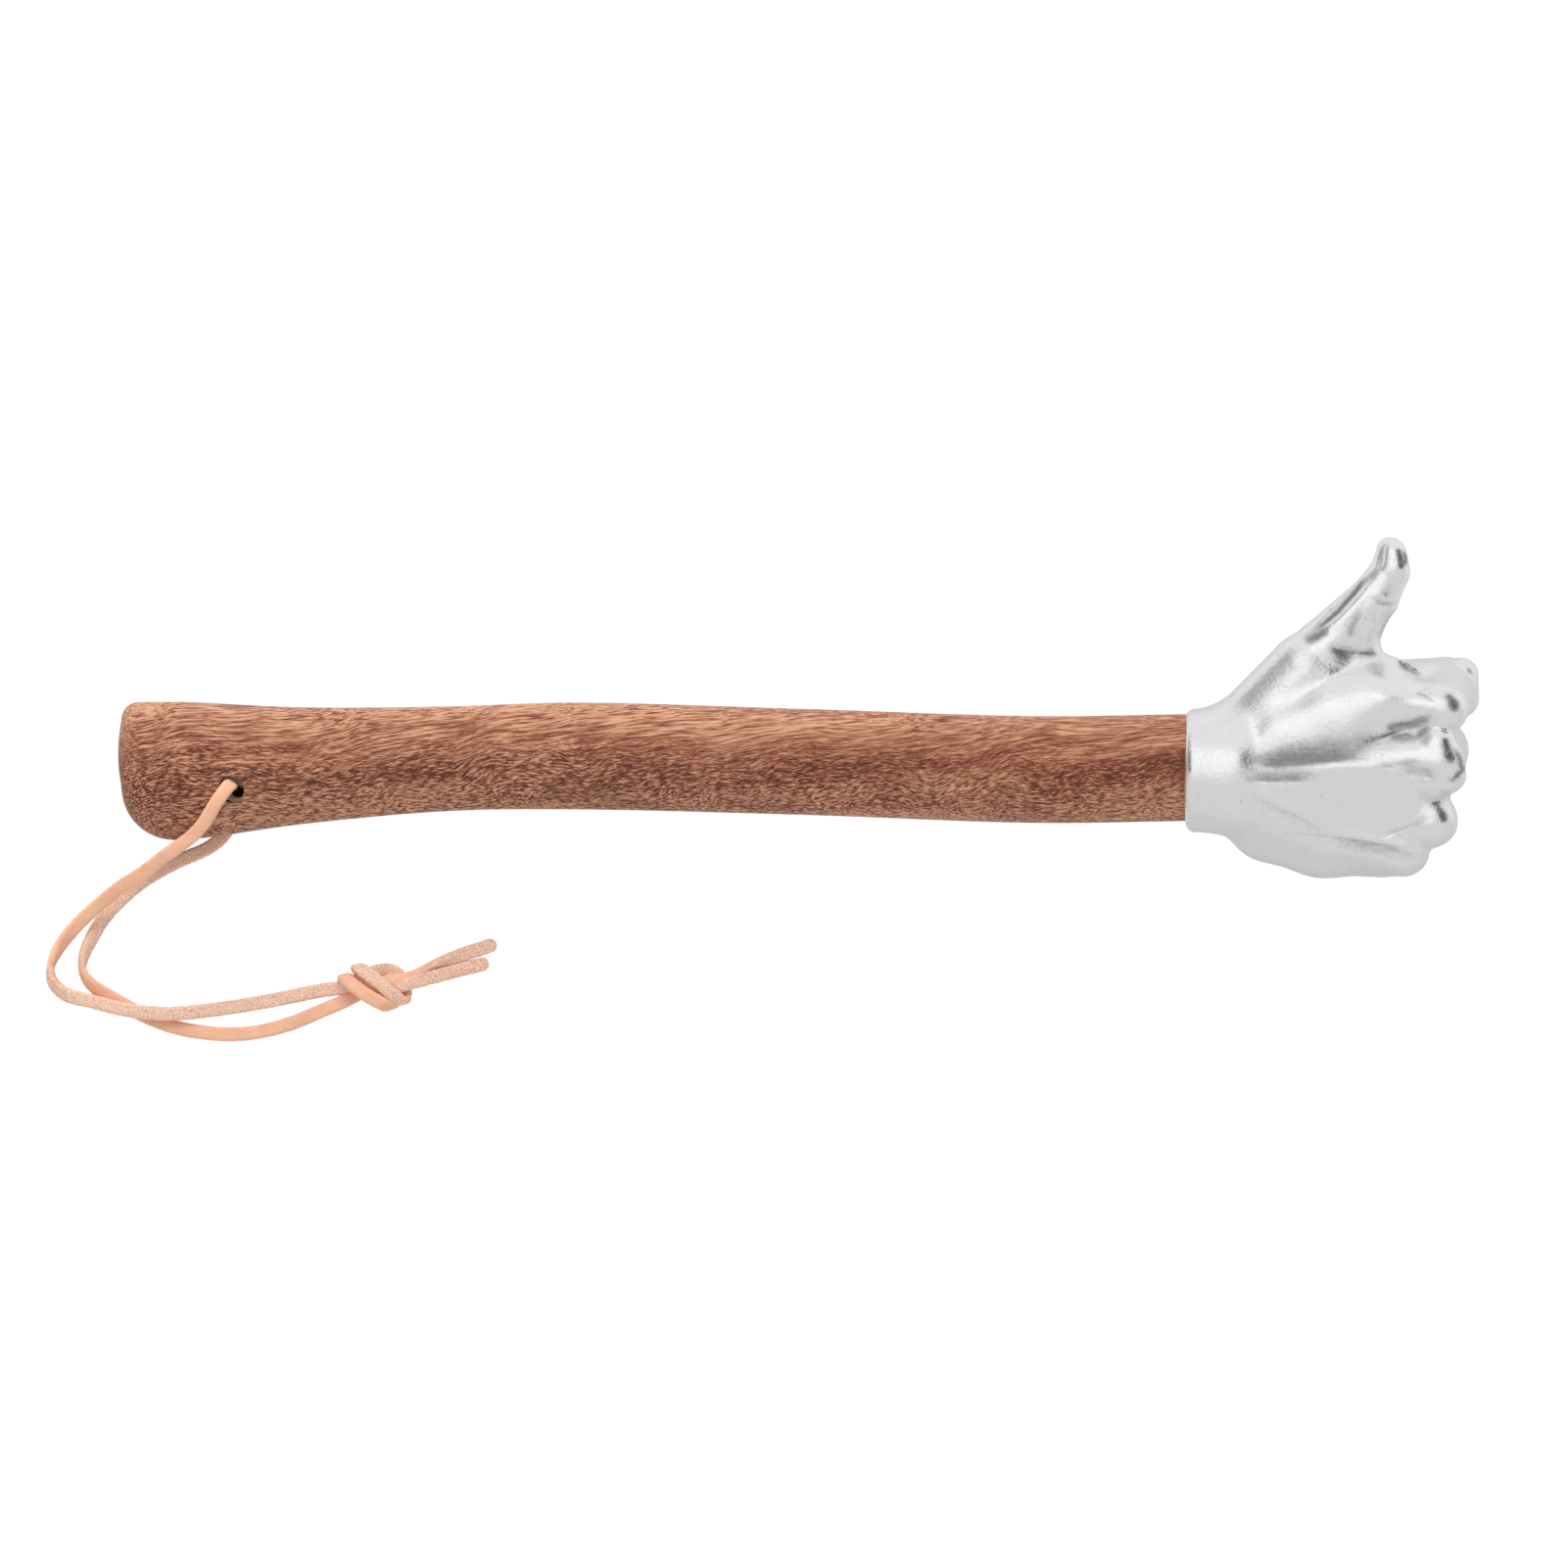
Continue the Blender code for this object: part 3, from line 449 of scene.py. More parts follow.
class Wire:
    """A shader socket that takes part in sums: numbers and other wires join it through Math nodes."""

    def __init__(self, tree, socket):
        self.tree = tree
        self.socket = socket

    def node(self, kind, settings=None, inputs=None, output=0):
        """Adds any node: its settings first, then its sockets' values or wires, and gives one output back."""
        made = self.tree.nodes.new(kind)
        for name, value in (settings or {}).items():
            if name == "stops":
                ramp = made.color_ramp
                while len(ramp.elements) < len(value):
                    ramp.elements.new(0.5)
                for element, (place, colour) in zip(ramp.elements, value):
                    element.position = place
                    element.color = (*colour, 1.0)
            else:
                setattr(made, name, value)
        for name, value in (inputs or {}).items():
            if isinstance(value, Wire):
                self.tree.links.new(value.socket, made.inputs[name])
            else:
                made.inputs[name].default_value = value
        return Wire(self.tree, made.outputs[output])

    def maths(self, operation, first, second):
        """Two values or wires through one Math node."""
        return self.node("ShaderNodeMath", {"operation": operation}, {0: first, 1: second})

    def __add__(self, other):
        return self.maths("ADD", self, other)

    __radd__ = __add__

    def __sub__(self, other):
        return self.maths("SUBTRACT", self, other)

    def __rsub__(self, other):
        return self.maths("SUBTRACT", other, self)

    def __mul__(self, other):
        return self.maths("MULTIPLY", self, other)

    __rmul__ = __mul__

    def step(self, low, high):
        """0 below low, 1 above high, and a smooth rise between."""
        return self.node(
            "ShaderNodeMapRange",
            {"interpolation_type": "SMOOTHSTEP"},
            {"Value": self, "From Min": low, "From Max": high},
        )

    def mix(self, first, second):
        """Colour between two colours, by this wire."""
        return self.node("ShaderNodeMix", {"data_type": "RGBA"}, {0: self, 6: first, 7: second}, 2)

    def stretched(self, scale, turn=(0.0, 0.0, 0.0)):
        """These coordinates, scaled and turned."""
        return self.node("ShaderNodeMapping", None, {"Vector": self, "Scale": scale, "Rotation": turn})

    def noise(self, scale, detail, roughness):
        """Soft noise over these coordinates."""
        return self.node(
            "ShaderNodeTexNoise",
            None,
            {"Vector": self, "Scale": scale, "Detail": detail, "Roughness": roughness},
        )

    def facing(self, direction):
        """How far these directions point one way: the cosine of the angle between them."""
        length = math.sqrt(sum(value * value for value in direction))
        aim = tuple(value / length for value in direction)
        return self.node("ShaderNodeVectorMath", {"operation": "DOT_PRODUCT"}, {0: self, 1: aim}, 1)


def colour(values):
    """An opaque colour."""
    return (*values, 1.0)


def finish(name, look, constants):
    """A Principled material: constants on its own sockets, and a look's wires on those that vary."""
    material = bpy.data.materials.new(name)
    material.use_nodes = True
    tree = material.node_tree
    shader = tree.nodes["Principled BSDF"]
    for socket, value in constants.items():
        shader.inputs[socket].default_value = value
    place = Wire(tree, tree.nodes.new("ShaderNodeTexCoord").outputs["Object"])
    for socket, wire in look(place).items():
        tree.links.new(wire.socket, shader.inputs[socket])
    return material


def cast_metal(place):
    """Tumbled casting: bright high spots; painted shade and painted dark reflections in its grooves, hollows
    and knuckle crescents, speckled and streaked, where its finish is also rougher; pits darkened with the
    same painted shade, random dull mottling, hair scratches and a dented skin.
    """
    settings = bpy.context.scene.mallet_hand
    # Stroke darkness from the hand's points: painted shade and painted dark reflections
    recess = place.node("ShaderNodeAttribute", {"attribute_name": "recess"}, None, "Fac")
    dents = place.noise(1000.0, 2.0, 0.55)
    fine = place.noise(3400.0, 2.0, 0.6)
    mottle = place.noise(190.0, 2.0, 0.5)
    grit = place.noise(760.0, 3.0, 0.65)
    streak = place.stretched((150.0, 1500.0, 1500.0)).noise(1.0, 2.0, 0.6)
    pits = place.noise(900.0, 1.0, 0.5).step(0.74, 0.80)
    scratch = place.stretched((420.0, 5200.0, 1500.0), (0.0, 0.0, 0.55)).noise(1.0, 1.0, 0.5).step(0.68, 0.80)
    # Painted shade, speckled and streaked, with random dull mottling, turns the colour towards the painted
    # shade tone; pits take the same painted shade
    painted_shade_and_mottle = recess * (0.15 + streak * 0.8 + fine * 0.9) + grit.step(0.35, 0.75) * 0.16
    tone = painted_shade_and_mottle.step(0.0, 1.0).mix(colour(settings.tone), colour(settings.painted_shade_tone))
    tone = (pits * 0.4).mix(tone, colour(settings.painted_shade_tone))
    height = dents * (0.7 + recess * 0.8) + fine * (0.18 + recess * 0.5) - pits * 0.5 - scratch * 0.15
    bump = place.node("ShaderNodeBump", None, {"Strength": 0.38, "Distance": 0.0003, "Height": height})
    return {
        "Base Color": tone,
        "Roughness": 0.17 + mottle * 0.12 + recess * 0.20,
        "Normal": bump,
    }


def oiled_wood(place):
    """Open-pored brown wood: short pale flecks that lean this way and that in interlocked arcs, straighter
    streaks on the thumb's side, and broad dark, red and golden bands. It is calmer and more even towards the
    head. Painted light lightens the thumb's side, along with its own lighter figure there, and its top and
    lower edges."""
    settings = bpy.context.scene.mallet_handle
    axes = place.node("ShaderNodeSeparateXYZ", None, {"Vector": place})
    along, across, depth = [Wire(place.tree, socket) for socket in axes.socket.node.outputs]
    wave = place.stretched((22.0, 20.0, 20.0)).noise(1.0, 2.0, 0.5)
    curl = place.stretched((58.0, 50.0, 50.0)).noise(1.0, 1.0, 0.5)
    ripple = place.stretched((300.0, 170.0, 170.0)).noise(1.0, 1.0, 0.5)
    straight = across - along * 0.13 + wave * 0.011
    bent = straight + curl * 0.0090 + ripple * 0.0005
    flow = place.node("ShaderNodeCombineXYZ", None, {"X": along, "Y": straight, "Z": depth})
    grain = place.node("ShaderNodeCombineXYZ", None, {"X": along, "Y": bent, "Z": depth})
    bands = flow.stretched((15.0, 150.0, 120.0)).noise(1.0, 2.0, 0.5)
    flecks = grain.stretched((500.0, 3300.0, 2500.0)).noise(1.0, 2.0, 0.6)
    streaks = flow.stretched((130.0, 3000.0, 2100.0)).noise(1.0, 3.0, 0.7)
    far = along.step(-0.12, 0.05)
    # The thumb's side: straighter streaks, lighter from its own figure and from painted light
    upper = (across + wave * 0.012 + bands * 0.010 + far * 0.0025).step(-0.0065, 0.0095)
    # The lower edge, lighter by painted light
    lower = (0 - across).step(0.0130, 0.0225)
    calm = 1 - far * 0.26
    figure = ((flecks - 0.5) * (1 - upper) * 1.95 + (streaks - 0.5) * upper * 1.8) * calm
    # The top edge, lighter by painted light
    rim = across.step(-0.0060, 0.0020)
    shade = 0.482 + figure + (bands - 0.5) * 0.36 - calm * 0.035
    # Painted light: the thumb's side, the top edge and the lower edge lighter
    shade = shade + upper * (0.180 - far * 0.060) + rim * 0.02 + lower * 0.12
    wood = place.node(
        "ShaderNodeValToRGB",
        {
            "stops": (
                (0.36, settings.dark),
                (0.47, settings.red),
                (0.56, settings.middle),
                (0.76, settings.pale),
            )
        },
        {"Fac": shade},
    )
    bump = place.node("ShaderNodeBump", None, {"Strength": 0.35, "Distance": 0.0002, "Height": figure})
    return {
        "Base Color": wood,
        "Roughness": 0.50 - figure * 0.25,
        "Normal": bump,
    }


def hole_painted_shade(place):
    """Painted shade on the drilled hole's wall: the wood's dark colour and darker still, marked round by the
    drill.
    """
    settings = bpy.context.scene.mallet_handle
    marks = place.stretched((600.0, 600.0, 3000.0)).noise(1.0, 2.0, 0.5)
    return {"Base Color": marks.mix(colour([value * 0.3 for value in settings.dark]), colour(settings.dark))}


def lace_leather(place):
    """Leather lace: a smooth peach grain side, a rough speckled flesh side and raw cut edges."""
    settings = bpy.context.scene.mallet_thong
    flesh = place.node("ShaderNodeAttribute", {"attribute_name": "flesh"}, None, "Fac")
    speckle = place.noise(3300.0, 2.0, 0.65)
    cloud = place.noise(240.0, 2.0, 0.5)
    pores = place.noise(1700.0, 2.0, 0.6)
    grain = cloud.step(0.30, 0.70).mix(
        colour(settings.grain), colour([value * 0.90 for value in settings.grain])
    )
    pale = colour([min(1.0, value * 1.16) for value in settings.flesh])
    brown = colour([value * share for value, share in zip(settings.flesh, (0.64, 0.52, 0.47))])
    rough = speckle.step(0.34, 0.60).mix(brown, pale)
    rough = (cloud.step(0.35, 0.75) * 0.35).mix(rough, colour(settings.flesh))
    tone = flesh.step(0.35, 0.65).mix(grain, rough)
    height = pores * (0.25 + flesh) + speckle * flesh
    bump = place.node("ShaderNodeBump", None, {"Strength": 0.45, "Distance": 0.0002, "Height": height})
    return {
        "Base Color": tone,
        "Roughness": 0.55 + flesh * 0.35,
        "Normal": bump,
    }


def stud_steel(place):
    """Plain drawn steel with faint marks along the rod."""
    marks = place.stretched((120.0, 3000.0, 3000.0)).noise(1.0, 2.0, 0.5)
    tone = marks.mix(colour((0.44, 0.44, 0.46)), colour((0.60, 0.60, 0.62)))
    return {"Base Color": tone, "Roughness": 0.28 + marks * 0.2}


def run_lengths(rows, power=1.0):
    """How far along a line each of its places lies, counting each step's length to the given power."""
    steps = np.linalg.norm(np.diff(rows[:, :3], axis=0), axis=1)
    return np.concatenate([[0.0], np.cumsum(steps**power)])


def smooth_curve(rows, per_span=24):
    """Centripetal Catmull-Rom curve through rows: three values are a place, and the rest go along with it."""
    route = np.array(rows, dtype=float)
    route = np.vstack([2 * route[0] - route[1], route, 2 * route[-1] - route[-2]])
    knots = run_lengths(route, 0.5)
    spans = []
    for i in range(1, len(route) - 2):
        t0, t1, t2, t3 = knots[i - 1 : i + 3]
        p0, p1, p2, p3 = route[i - 1 : i + 3]
        t = np.linspace(t1, t2, per_span, endpoint=False)[:, None]
        a1 = ((t1 - t) * p0 + (t - t0) * p1) / (t1 - t0)
        a2 = ((t2 - t) * p1 + (t - t1) * p2) / (t2 - t1)
        a3 = ((t3 - t) * p2 + (t - t2) * p3) / (t3 - t2)
        b1 = ((t2 - t) * a1 + (t - t0) * a2) / (t2 - t0)
        b2 = ((t3 - t) * a2 + (t - t1) * a3) / (t3 - t1)
        spans.append(((t2 - t) * b1 + (t - t1) * b2) / (t2 - t1))
    spans.append(route[-2:-1])
    return np.vstack(spans)


def evenly(rows, step):
    """Rows read from a dense curve at even steps of about the given length, both ends kept."""
    runs = run_lengths(rows)
    places = np.linspace(0.0, runs[-1], max(2, round(runs[-1] / step) + 1))
    return np.stack([np.interp(places, runs, column) for column in rows.T], axis=1)


def ease(values):
    """A smooth rise from 0 to 1, flat at both ends."""
    held = np.clip(values, 0.0, 1.0)
    return held * held * (3 - 2 * held)


def mallet_frame():
    """The middle of the collar's face and the mallet's axes, read from the stud that lies on its axis."""
    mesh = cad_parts["head_stud"].data
    points = np.empty(len(mesh.vertices) * 3)
    mesh.vertices.foreach_get("co", points)
    points = points.reshape(-1, 3)
    middle = (points.min(axis=0) + points.max(axis=0)) / 2
    along = np.linalg.svd(points - middle, full_matrices=False)[2][0]
    along *= np.sign(along[0])
    across = np.array([0.0, 1.0, 0.0])
    up = np.cross(along, across)
    return middle - STUD_MIDDLE * MM * along, np.stack([along, across, up])


def laid(points):
    """Points from the mallet's own frame, in millimetres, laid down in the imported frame."""
    origin, axes = mallet_frame()
    return origin + MM * points @ axes


def piece_from(name, points, faces, material, body, node):
    """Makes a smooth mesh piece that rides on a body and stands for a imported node."""
    mesh = bpy.data.meshes.new(name)
    mesh.from_pydata(points.tolist(), [], faces)
    mesh.update()
    mesh.shade_smooth()
    mesh.materials.append(material)
    piece = bpy.data.objects.new(name, mesh)
    bpy.context.collection.objects.link(piece)
    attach(piece, body)
    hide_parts(node)
    return piece


def mark(piece, name, values):
    """Gives each point of a piece one value of a named attribute."""
    layer = piece.data.attributes.new(name, "FLOAT", "POINT")
    layer.data.foreach_set("value", np.ascontiguousarray(values, dtype=np.float32))


def ring_faces(rings, sides):
    """Quads between neighbouring rings and a fan at each end, whose middle points come after the rings."""
    first = (np.arange(rings - 1)[:, None] * sides + np.arange(sides)).ravel()
    turned = (np.arange(rings - 1)[:, None] * sides + (np.arange(sides) + 1) % sides).ravel()
    quads = np.stack([first, turned, turned + sides, first + sides], axis=1).tolist()
    start = np.arange(sides)
    ahead = (start + 1) % sides
    head = np.stack([np.full(sides, rings * sides), ahead, start], axis=1)
    last = (rings - 1) * sides
    tail = np.stack([np.full(sides, rings * sides + 1), last + start, last + ahead], axis=1)
    return quads + head.tolist() + tail.tolist()


def bone(points, start, end):
    """Distance to a bone: to the nearest place on its line, less a radius that changes evenly along it."""
    base = np.array(start[:3], dtype=np.float32)
    run = np.array(end[:3], dtype=np.float32) - base
    share = np.clip((points - base) @ run / (run @ run), 0.0, 1.0)
    off = points - base - share[:, None] * run
    return np.sqrt(np.einsum("ij,ij->i", off, off)) - (start[3] + share * (end[3] - start[3]))


def melt(first, second, width):
    """The nearer of two distances, with a fillet of about the given width where they are alike."""
    alike = np.maximum(width - np.abs(first - second), 0.0) / width
    return np.minimum(first, second) - alike * alike * width / 4


def joined(points, bones, width):
    """Distance to several bones melted together one after the other."""
    total = bone(points, *bones[0])
    for pair in bones[1:]:
        total = melt(total, bone(points, *pair), width)
    return total


def chain(points, joints):
    """Distance to bones end to end, with hardly any fillet, because they share their joints."""
    return joined(points, list(zip(joints, joints[1:])), 0.5)


def collar_distance(points):
    """Distance to the wrist collar: a drum about the handle's axis with rounded ends."""
    half = COLLAR_REACH / 2
    across = np.hypot(points[:, 1], points[:, 2]) - (COLLAR_RADIUS - COLLAR_LIP)
    along = np.abs(points[:, 0] - half) - (half - COLLAR_LIP)
    outside = np.hypot(np.maximum(across, 0.0), np.maximum(along, 0.0))
    return outside + np.minimum(np.maximum(across, along), 0.0) - COLLAR_LIP


def hand_distance(points):
    """Distance to the plain hand: palm, web, thumb, fingers and collar, melted together one by one. The last
    number of each call is its fillet's width."""
    palm = melt(joined(points, METACARPALS, 4.0), joined(points, PALM_HEEL, 3.0), 4.0)
    thumb = melt(chain(points, THUMB), bone(points, *THUMB_PAD), 1.0)
    web = joined(points, THUMB_WEB, 3.0)
    fingers = chain(points, FINGERS["index"])
    for name in ("index edge", "middle", "middle ridge", "ring", "little"):
        fingers = melt(fingers, chain(points, FINGERS[name]), 0.8)
    hand = melt(palm, web, 5.0)
    hand = melt(hand, thumb, 2.5)
    hand = melt(hand, fingers, 2.0)
    return melt(hand, collar_distance(points), 4.4)


def stroke(points, line, left, right):
    """How strongly a stroke is felt in plan: a bell across its line, of a width for each side, that fades at
    both ends."""
    line = np.array(line, dtype=np.float32)
    runs = run_lengths(line)
    nearest = np.full(len(points), np.inf, dtype=np.float32)
    side = np.zeros(len(points), dtype=np.float32)
    place = np.zeros(len(points), dtype=np.float32)
    for i in range(len(line) - 1):
        run = line[i + 1] - line[i]
        off = points[:, :2] - line[i]
        share = np.clip(off @ run / (run @ run), 0.0, 1.0)
        far = np.hypot(*(off - share[:, None] * run).T)
        closer = far < nearest
        nearest = np.where(closer, far, nearest)
        side = np.where(closer, run[0] * off[:, 1] - run[1] * off[:, 0], side)
        place = np.where(closer, runs[i] + share * (runs[i + 1] - runs[i]), place)
    bell = np.exp(-((nearest / np.where(side > 0, left, right)) ** 2))
    return bell * ease(3 * np.minimum(place, runs[-1] - place) / runs[-1])


def relief(points):
    """Height and painted shade that all strokes give the back of the hand."""
    back = ease((points[:, 2] - BACK_FROM) / BACK_RISE)
    height = np.zeros(len(points), dtype=np.float32)
    dark = np.zeros(len(points), dtype=np.float32)
    for line, left, right, rise, depth in RELIEF.values():
        felt = stroke(points, line, left, right) * back
        height += rise * felt
        # Each stroke's darkness adds painted shade, and on the knuckles and the thumb's tip painted dark
        # reflections
        dark += (1.0 - dark) * depth * felt
    return height, dark


def carved_distance(points):
    """Distance to the finished hand: the plain one less its relief."""
    return hand_distance(points) - relief(points)[0]


def skin(values, corner, step):
    """Skin of a lattice of distances: a point in every cell that the zero level crosses, and a quad round
    every crossed lattice edge. This is not a two-parameter surface, because the hand branches."""
    inside = values < 0
    cells = tuple(size - 1 for size in values.shape)
    sums = np.zeros((*cells, 3))
    counts = np.zeros(cells)
    rims = []
    for axis in range(3):
        low = np.moveaxis(values, axis, 0)[:-1]
        high = np.moveaxis(values, axis, 0)[1:]
        flips = np.moveaxis(np.moveaxis(inside, axis, 0)[:-1] != np.moveaxis(inside, axis, 0)[1:], 0, axis)
        edges = np.argwhere(flips)
        start = np.moveaxis(low, 0, axis)[tuple(edges.T)]
        end = np.moveaxis(high, 0, axis)[tuple(edges.T)]
        crossing = edges.astype(float)
        crossing[:, axis] += start / (start - end)
        around = np.repeat(edges[:, None], 4, axis=1)
        around[:, (1, 2), (axis + 1) % 3] -= 1
        around[:, (2, 3), (axis + 2) % 3] -= 1
        around[start > 0] = around[start > 0][:, ::-1]
        for corner_index in range(4):
            np.add.at(sums, tuple(around[:, corner_index].T), crossing)
            np.add.at(counts, tuple(around[:, corner_index].T), 1)
        rims.append(around)
    used = counts > 0
    numbers = np.full(cells, -1)
    numbers[used] = np.arange(used.sum())
    points = corner + step * sums[used] / counts[used][:, None]
    around = np.concatenate(rims)
    return points, numbers[around[..., 0], around[..., 1], around[..., 2]]


def hand_skin(step):
    """Points, faces and painted shade of the hand: the plain hand's skin, drawn to the carved one down the
    slope of its distance."""
    chains = [*FINGERS.values(), THUMB, *THUMB_WEB, *PALM_HEEL, *METACARPALS]
    balls = np.array([ball for chain in chains for ball in chain])
    margin = 3 * step + SKIN_MARGIN
    collar = np.array([0.0, COLLAR_RADIUS, COLLAR_RADIUS])
    low = np.minimum((balls[:, :3] - balls[:, 3:]).min(axis=0), -collar) - margin
    high = np.maximum((balls[:, :3] + balls[:, 3:]).max(axis=0), collar) + margin
    axes = [np.arange(a, b, step, dtype=np.float32) for a, b in zip(low, high)]
    lattice = np.stack(np.meshgrid(*axes, indexing="ij"), axis=-1).reshape(-1, 3)
    values = hand_distance(lattice).reshape([len(axis) for axis in axes])
    points, faces = skin(values, low, step)
    points = points.astype(np.float32)
    reach = 0.5 * step
    ways = np.eye(3, dtype=np.float32)
    for _ in range(DRAWING_TURNS):
        here = carved_distance(points)
        slope = np.stack([(carved_distance(points + reach * way) - here) / reach for way in ways], axis=1)
        points = points - (here / np.maximum((slope * slope).sum(axis=1), LEAST_SLOPE))[:, None] * slope
    return points, faces, relief(points)[1]


def handle_sections():
    """Dense rows of (along, bow, height, thickness) from the butt to the shoulder, in the mallet's frame."""
    rows = np.array([(along, bow, 0.0, height, thickness) for along, bow, height, thickness in HANDLE_ROWS])
    dense = np.delete(smooth_curve(rows), 2, axis=1)
    dense[:, 0] -= HANDLE_LENGTH
    return dense


def oval(height, thickness, angles):
    """Across and up round superellipses: the power of cosine and sine makes them a little square."""
    power = 2.0 / SQUARENESS
    across = np.sign(np.cos(angles)) * np.abs(np.cos(angles)) ** power * height[:, None] / 2
    up = np.sign(np.sin(angles)) * np.abs(np.sin(angles)) ** power * thickness[:, None] / 2
    return across, up


def handle_rings(sides, step):
    """Rings from the domed butt to the shoulder. The butt's corners are quarter rounds of two radii, and each
    ring there leans from the large one to the small one. Past them the ovals follow the rows."""
    angles = np.linspace(0.0, math.tau, sides, endpoint=False)
    bow, height, thickness = HANDLE_ROWS[0][1:]
    turn = np.linspace(0.0, math.pi / 2, BUTT_CORNER_RINGS, endpoint=False)
    inset = 1.0 - np.sin(turn)
    back = 1.0 - np.cos(turn)
    upper = bow + height / 2 - BUTT_UPPER_RADIUS * inset
    lower = bow - height / 2 + BUTT_LOWER_RADIUS * inset
    across, up = oval(upper - lower, thickness - 2 * BUTT_FACE_RADIUS * inset, angles)
    share = across / (upper - lower)[:, None] + 0.5
    along = BUTT_DOME - HANDLE_LENGTH + back[:, None] * (
        share * BUTT_UPPER_RADIUS + (1.0 - share) * BUTT_LOWER_RADIUS
    )
    corner = np.stack([along, across + ((upper + lower) / 2)[:, None], up], axis=2)
    spread = np.linspace(*BUTT_DOME_SPREAD, BUTT_DOME_RINGS)[:, None, None]
    middle = corner[0].mean(axis=0)
    dome = middle + spread * (corner[0] - middle)
    dome[..., 0] -= BUTT_DOME * (1.0 - spread[..., 0] ** 2)
    sections = handle_sections()
    body = evenly(sections[sections[:, 0] > BUTT_LOWER_RADIUS + BUTT_DOME - HANDLE_LENGTH], step)
    across, up = oval(body[:, 2], body[:, 3], angles)
    along = np.repeat(body[:, :1], sides, axis=1)
    return np.concatenate([dome, corner, np.stack([along, across + body[:, 1:2], up], axis=2)])


def hole_place():
    """Thong hole in the mallet's frame: along, across, and how far its mouths lie from the middle."""
    along = HOLE_FROM_BUTT - HANDLE_LENGTH
    sections = handle_sections()
    bow, height, thickness = [np.interp(along, sections[:, 0], column) for column in sections.T[1:]]
    level = 1.0 - (HOLE_DROP / (height / 2)) ** SQUARENESS
    return along, bow - HOLE_DROP, thickness / 2 * level ** (1.0 / SQUARENESS)


def drilled(handle):
    """Takes the thong hole out of the handle, leaves a plain mesh and paints shade on the hole's wall."""
    along, across, _ = hole_place()
    angles = np.linspace(0.0, math.tau, DRILL_SIDES, endpoint=False)
    ring = np.stack([along + HOLE_RADIUS * np.cos(angles), across + HOLE_RADIUS * np.sin(angles)], axis=1)
    heights = (-DRILL_REACH, DRILL_REACH)
    ends = [np.column_stack([ring, np.full(DRILL_SIDES, up)]) for up in heights]
    poles = [(along, across, up) for up in heights]
    mesh = bpy.data.meshes.new("drill")
    mesh.from_pydata(laid(np.vstack([*ends, poles])).tolist(), [], ring_faces(2, DRILL_SIDES))
    drill = bpy.data.objects.new("drill", mesh)
    bpy.context.collection.objects.link(drill)
    boolean = handle.modifiers.new("hole", "BOOLEAN")
    boolean.operation = "DIFFERENCE"
    boolean.object = drill
    seen = handle.evaluated_get(bpy.context.evaluated_depsgraph_get())
    cut = bpy.data.meshes.new_from_object(seen)
    handle.modifiers.remove(boolean)
    handle.data = cut
    bpy.data.objects.remove(drill)
    cut.shade_smooth()
    cut.set_sharp_from_angle(angle=math.radians(HANDLE_CREASE_DEG))
    centres = np.empty(len(cut.polygons) * 3)
    cut.polygons.foreach_get("center", centres)
    normals = np.empty(len(cut.polygons) * 3)
    cut.polygons.foreach_get("normal", normals)
    origin, axes = mallet_frame()
    centres = (centres.reshape(-1, 3) - origin) @ axes.T / MM
    near = np.hypot(centres[:, 0] - along, centres[:, 1] - across) < WALL_REACH * HOLE_RADIUS
    wall = near & (np.abs(normals.reshape(-1, 3) @ axes[2]) < WALL_TILT)
    # The hole's wall gets painted shade
    cut.materials.append(finish("hole_painted_shade", hole_painted_shade, {"Specular IOR Level": 0.0, "Roughness": 1.0}))
    cut.polygons.foreach_set("material_index", wall.astype(np.int32))


def lace_rows(side):
    """Rows of (place, grain side's reference, lean) along half a lace: side 1 is the front, -1 the back."""
    along, across, mouth = hole_place()
    hole = laid(np.array([[along, across, 0.0], [along, across, mouth]])) / MM
    rows = []
    if side > 0:
        rows.append((0.0, 0.0, hole[0, 2] + HALF_GAP, *FRONT_FACING, 0.0, 0.0))
        for i, (x, y, z, lean) in enumerate(FRONT_OVER_HANDLE):
            tip = min(1.0, i / 4)
            facing = [value * (1.0 - tip) for value in FRONT_FACING]
            rows.append((x, y, z + hole[1, 2], *facing, tip, lean))
        rows += [(x, y, z, 0.0, 0.0, 1.0, lean) for x, y, z, lean in FRONT_ON_SURFACE]
    else:
        rows.append((0.0, 0.0, hole[0, 2] - HALF_GAP, 0.0, -1.0, 0.0, 180.0))
        for i, (x, y, z, lean) in enumerate(BACK_ON_SURFACE):
            tip = min(1.0, i / 3)
            rows.append((x, y, z, 0.0, tip - 1.0, tip, lean))
    lean = rows[-1][-1]
    turn = math.radians(KNOT_TURN_DEG)
    for along, across, layer, beside, outward in KNOT_PASSES:
        reach = side * KNOT_PITCH / 2
        way = math.radians(outward)
        rows.append(
            (
                *knot_point(along + reach * beside[0], across + reach * beside[1]),
                KNOT_LOWEST + layer * KNOT_LAYER,
                -math.sin(turn) * math.cos(way),
                math.cos(turn) * math.cos(way),
                math.sin(way),
                lean,
            )
        )
    for along, across, height, twist in FRONT_TAIL if side > 0 else BACK_TAIL:
        rows.append((*knot_point(along, across), height, 0.0, 0.0, 1.0, lean + twist))
    rows = np.array(rows)
    rows[:, :2] += hole[0, :2]
    return rows


def knot_point(along, across):
    """A place in the knot's own directions, from the hole."""
    turn = math.radians(KNOT_TURN_DEG)
    return (
        KNOT_PLACE[0] + along * math.cos(turn) - across * math.sin(turn),
        KNOT_PLACE[1] + along * math.sin(turn) + across * math.cos(turn),
    )


def ragged(rings, sides):
    """A value from 0 to 1 for each point of each ring, without order and the same every time."""
    waves = np.sin(12.9898 * np.arange(rings)[:, None] + 78.233 * np.arange(sides)) * 43758.5453
    return waves - np.floor(waves)


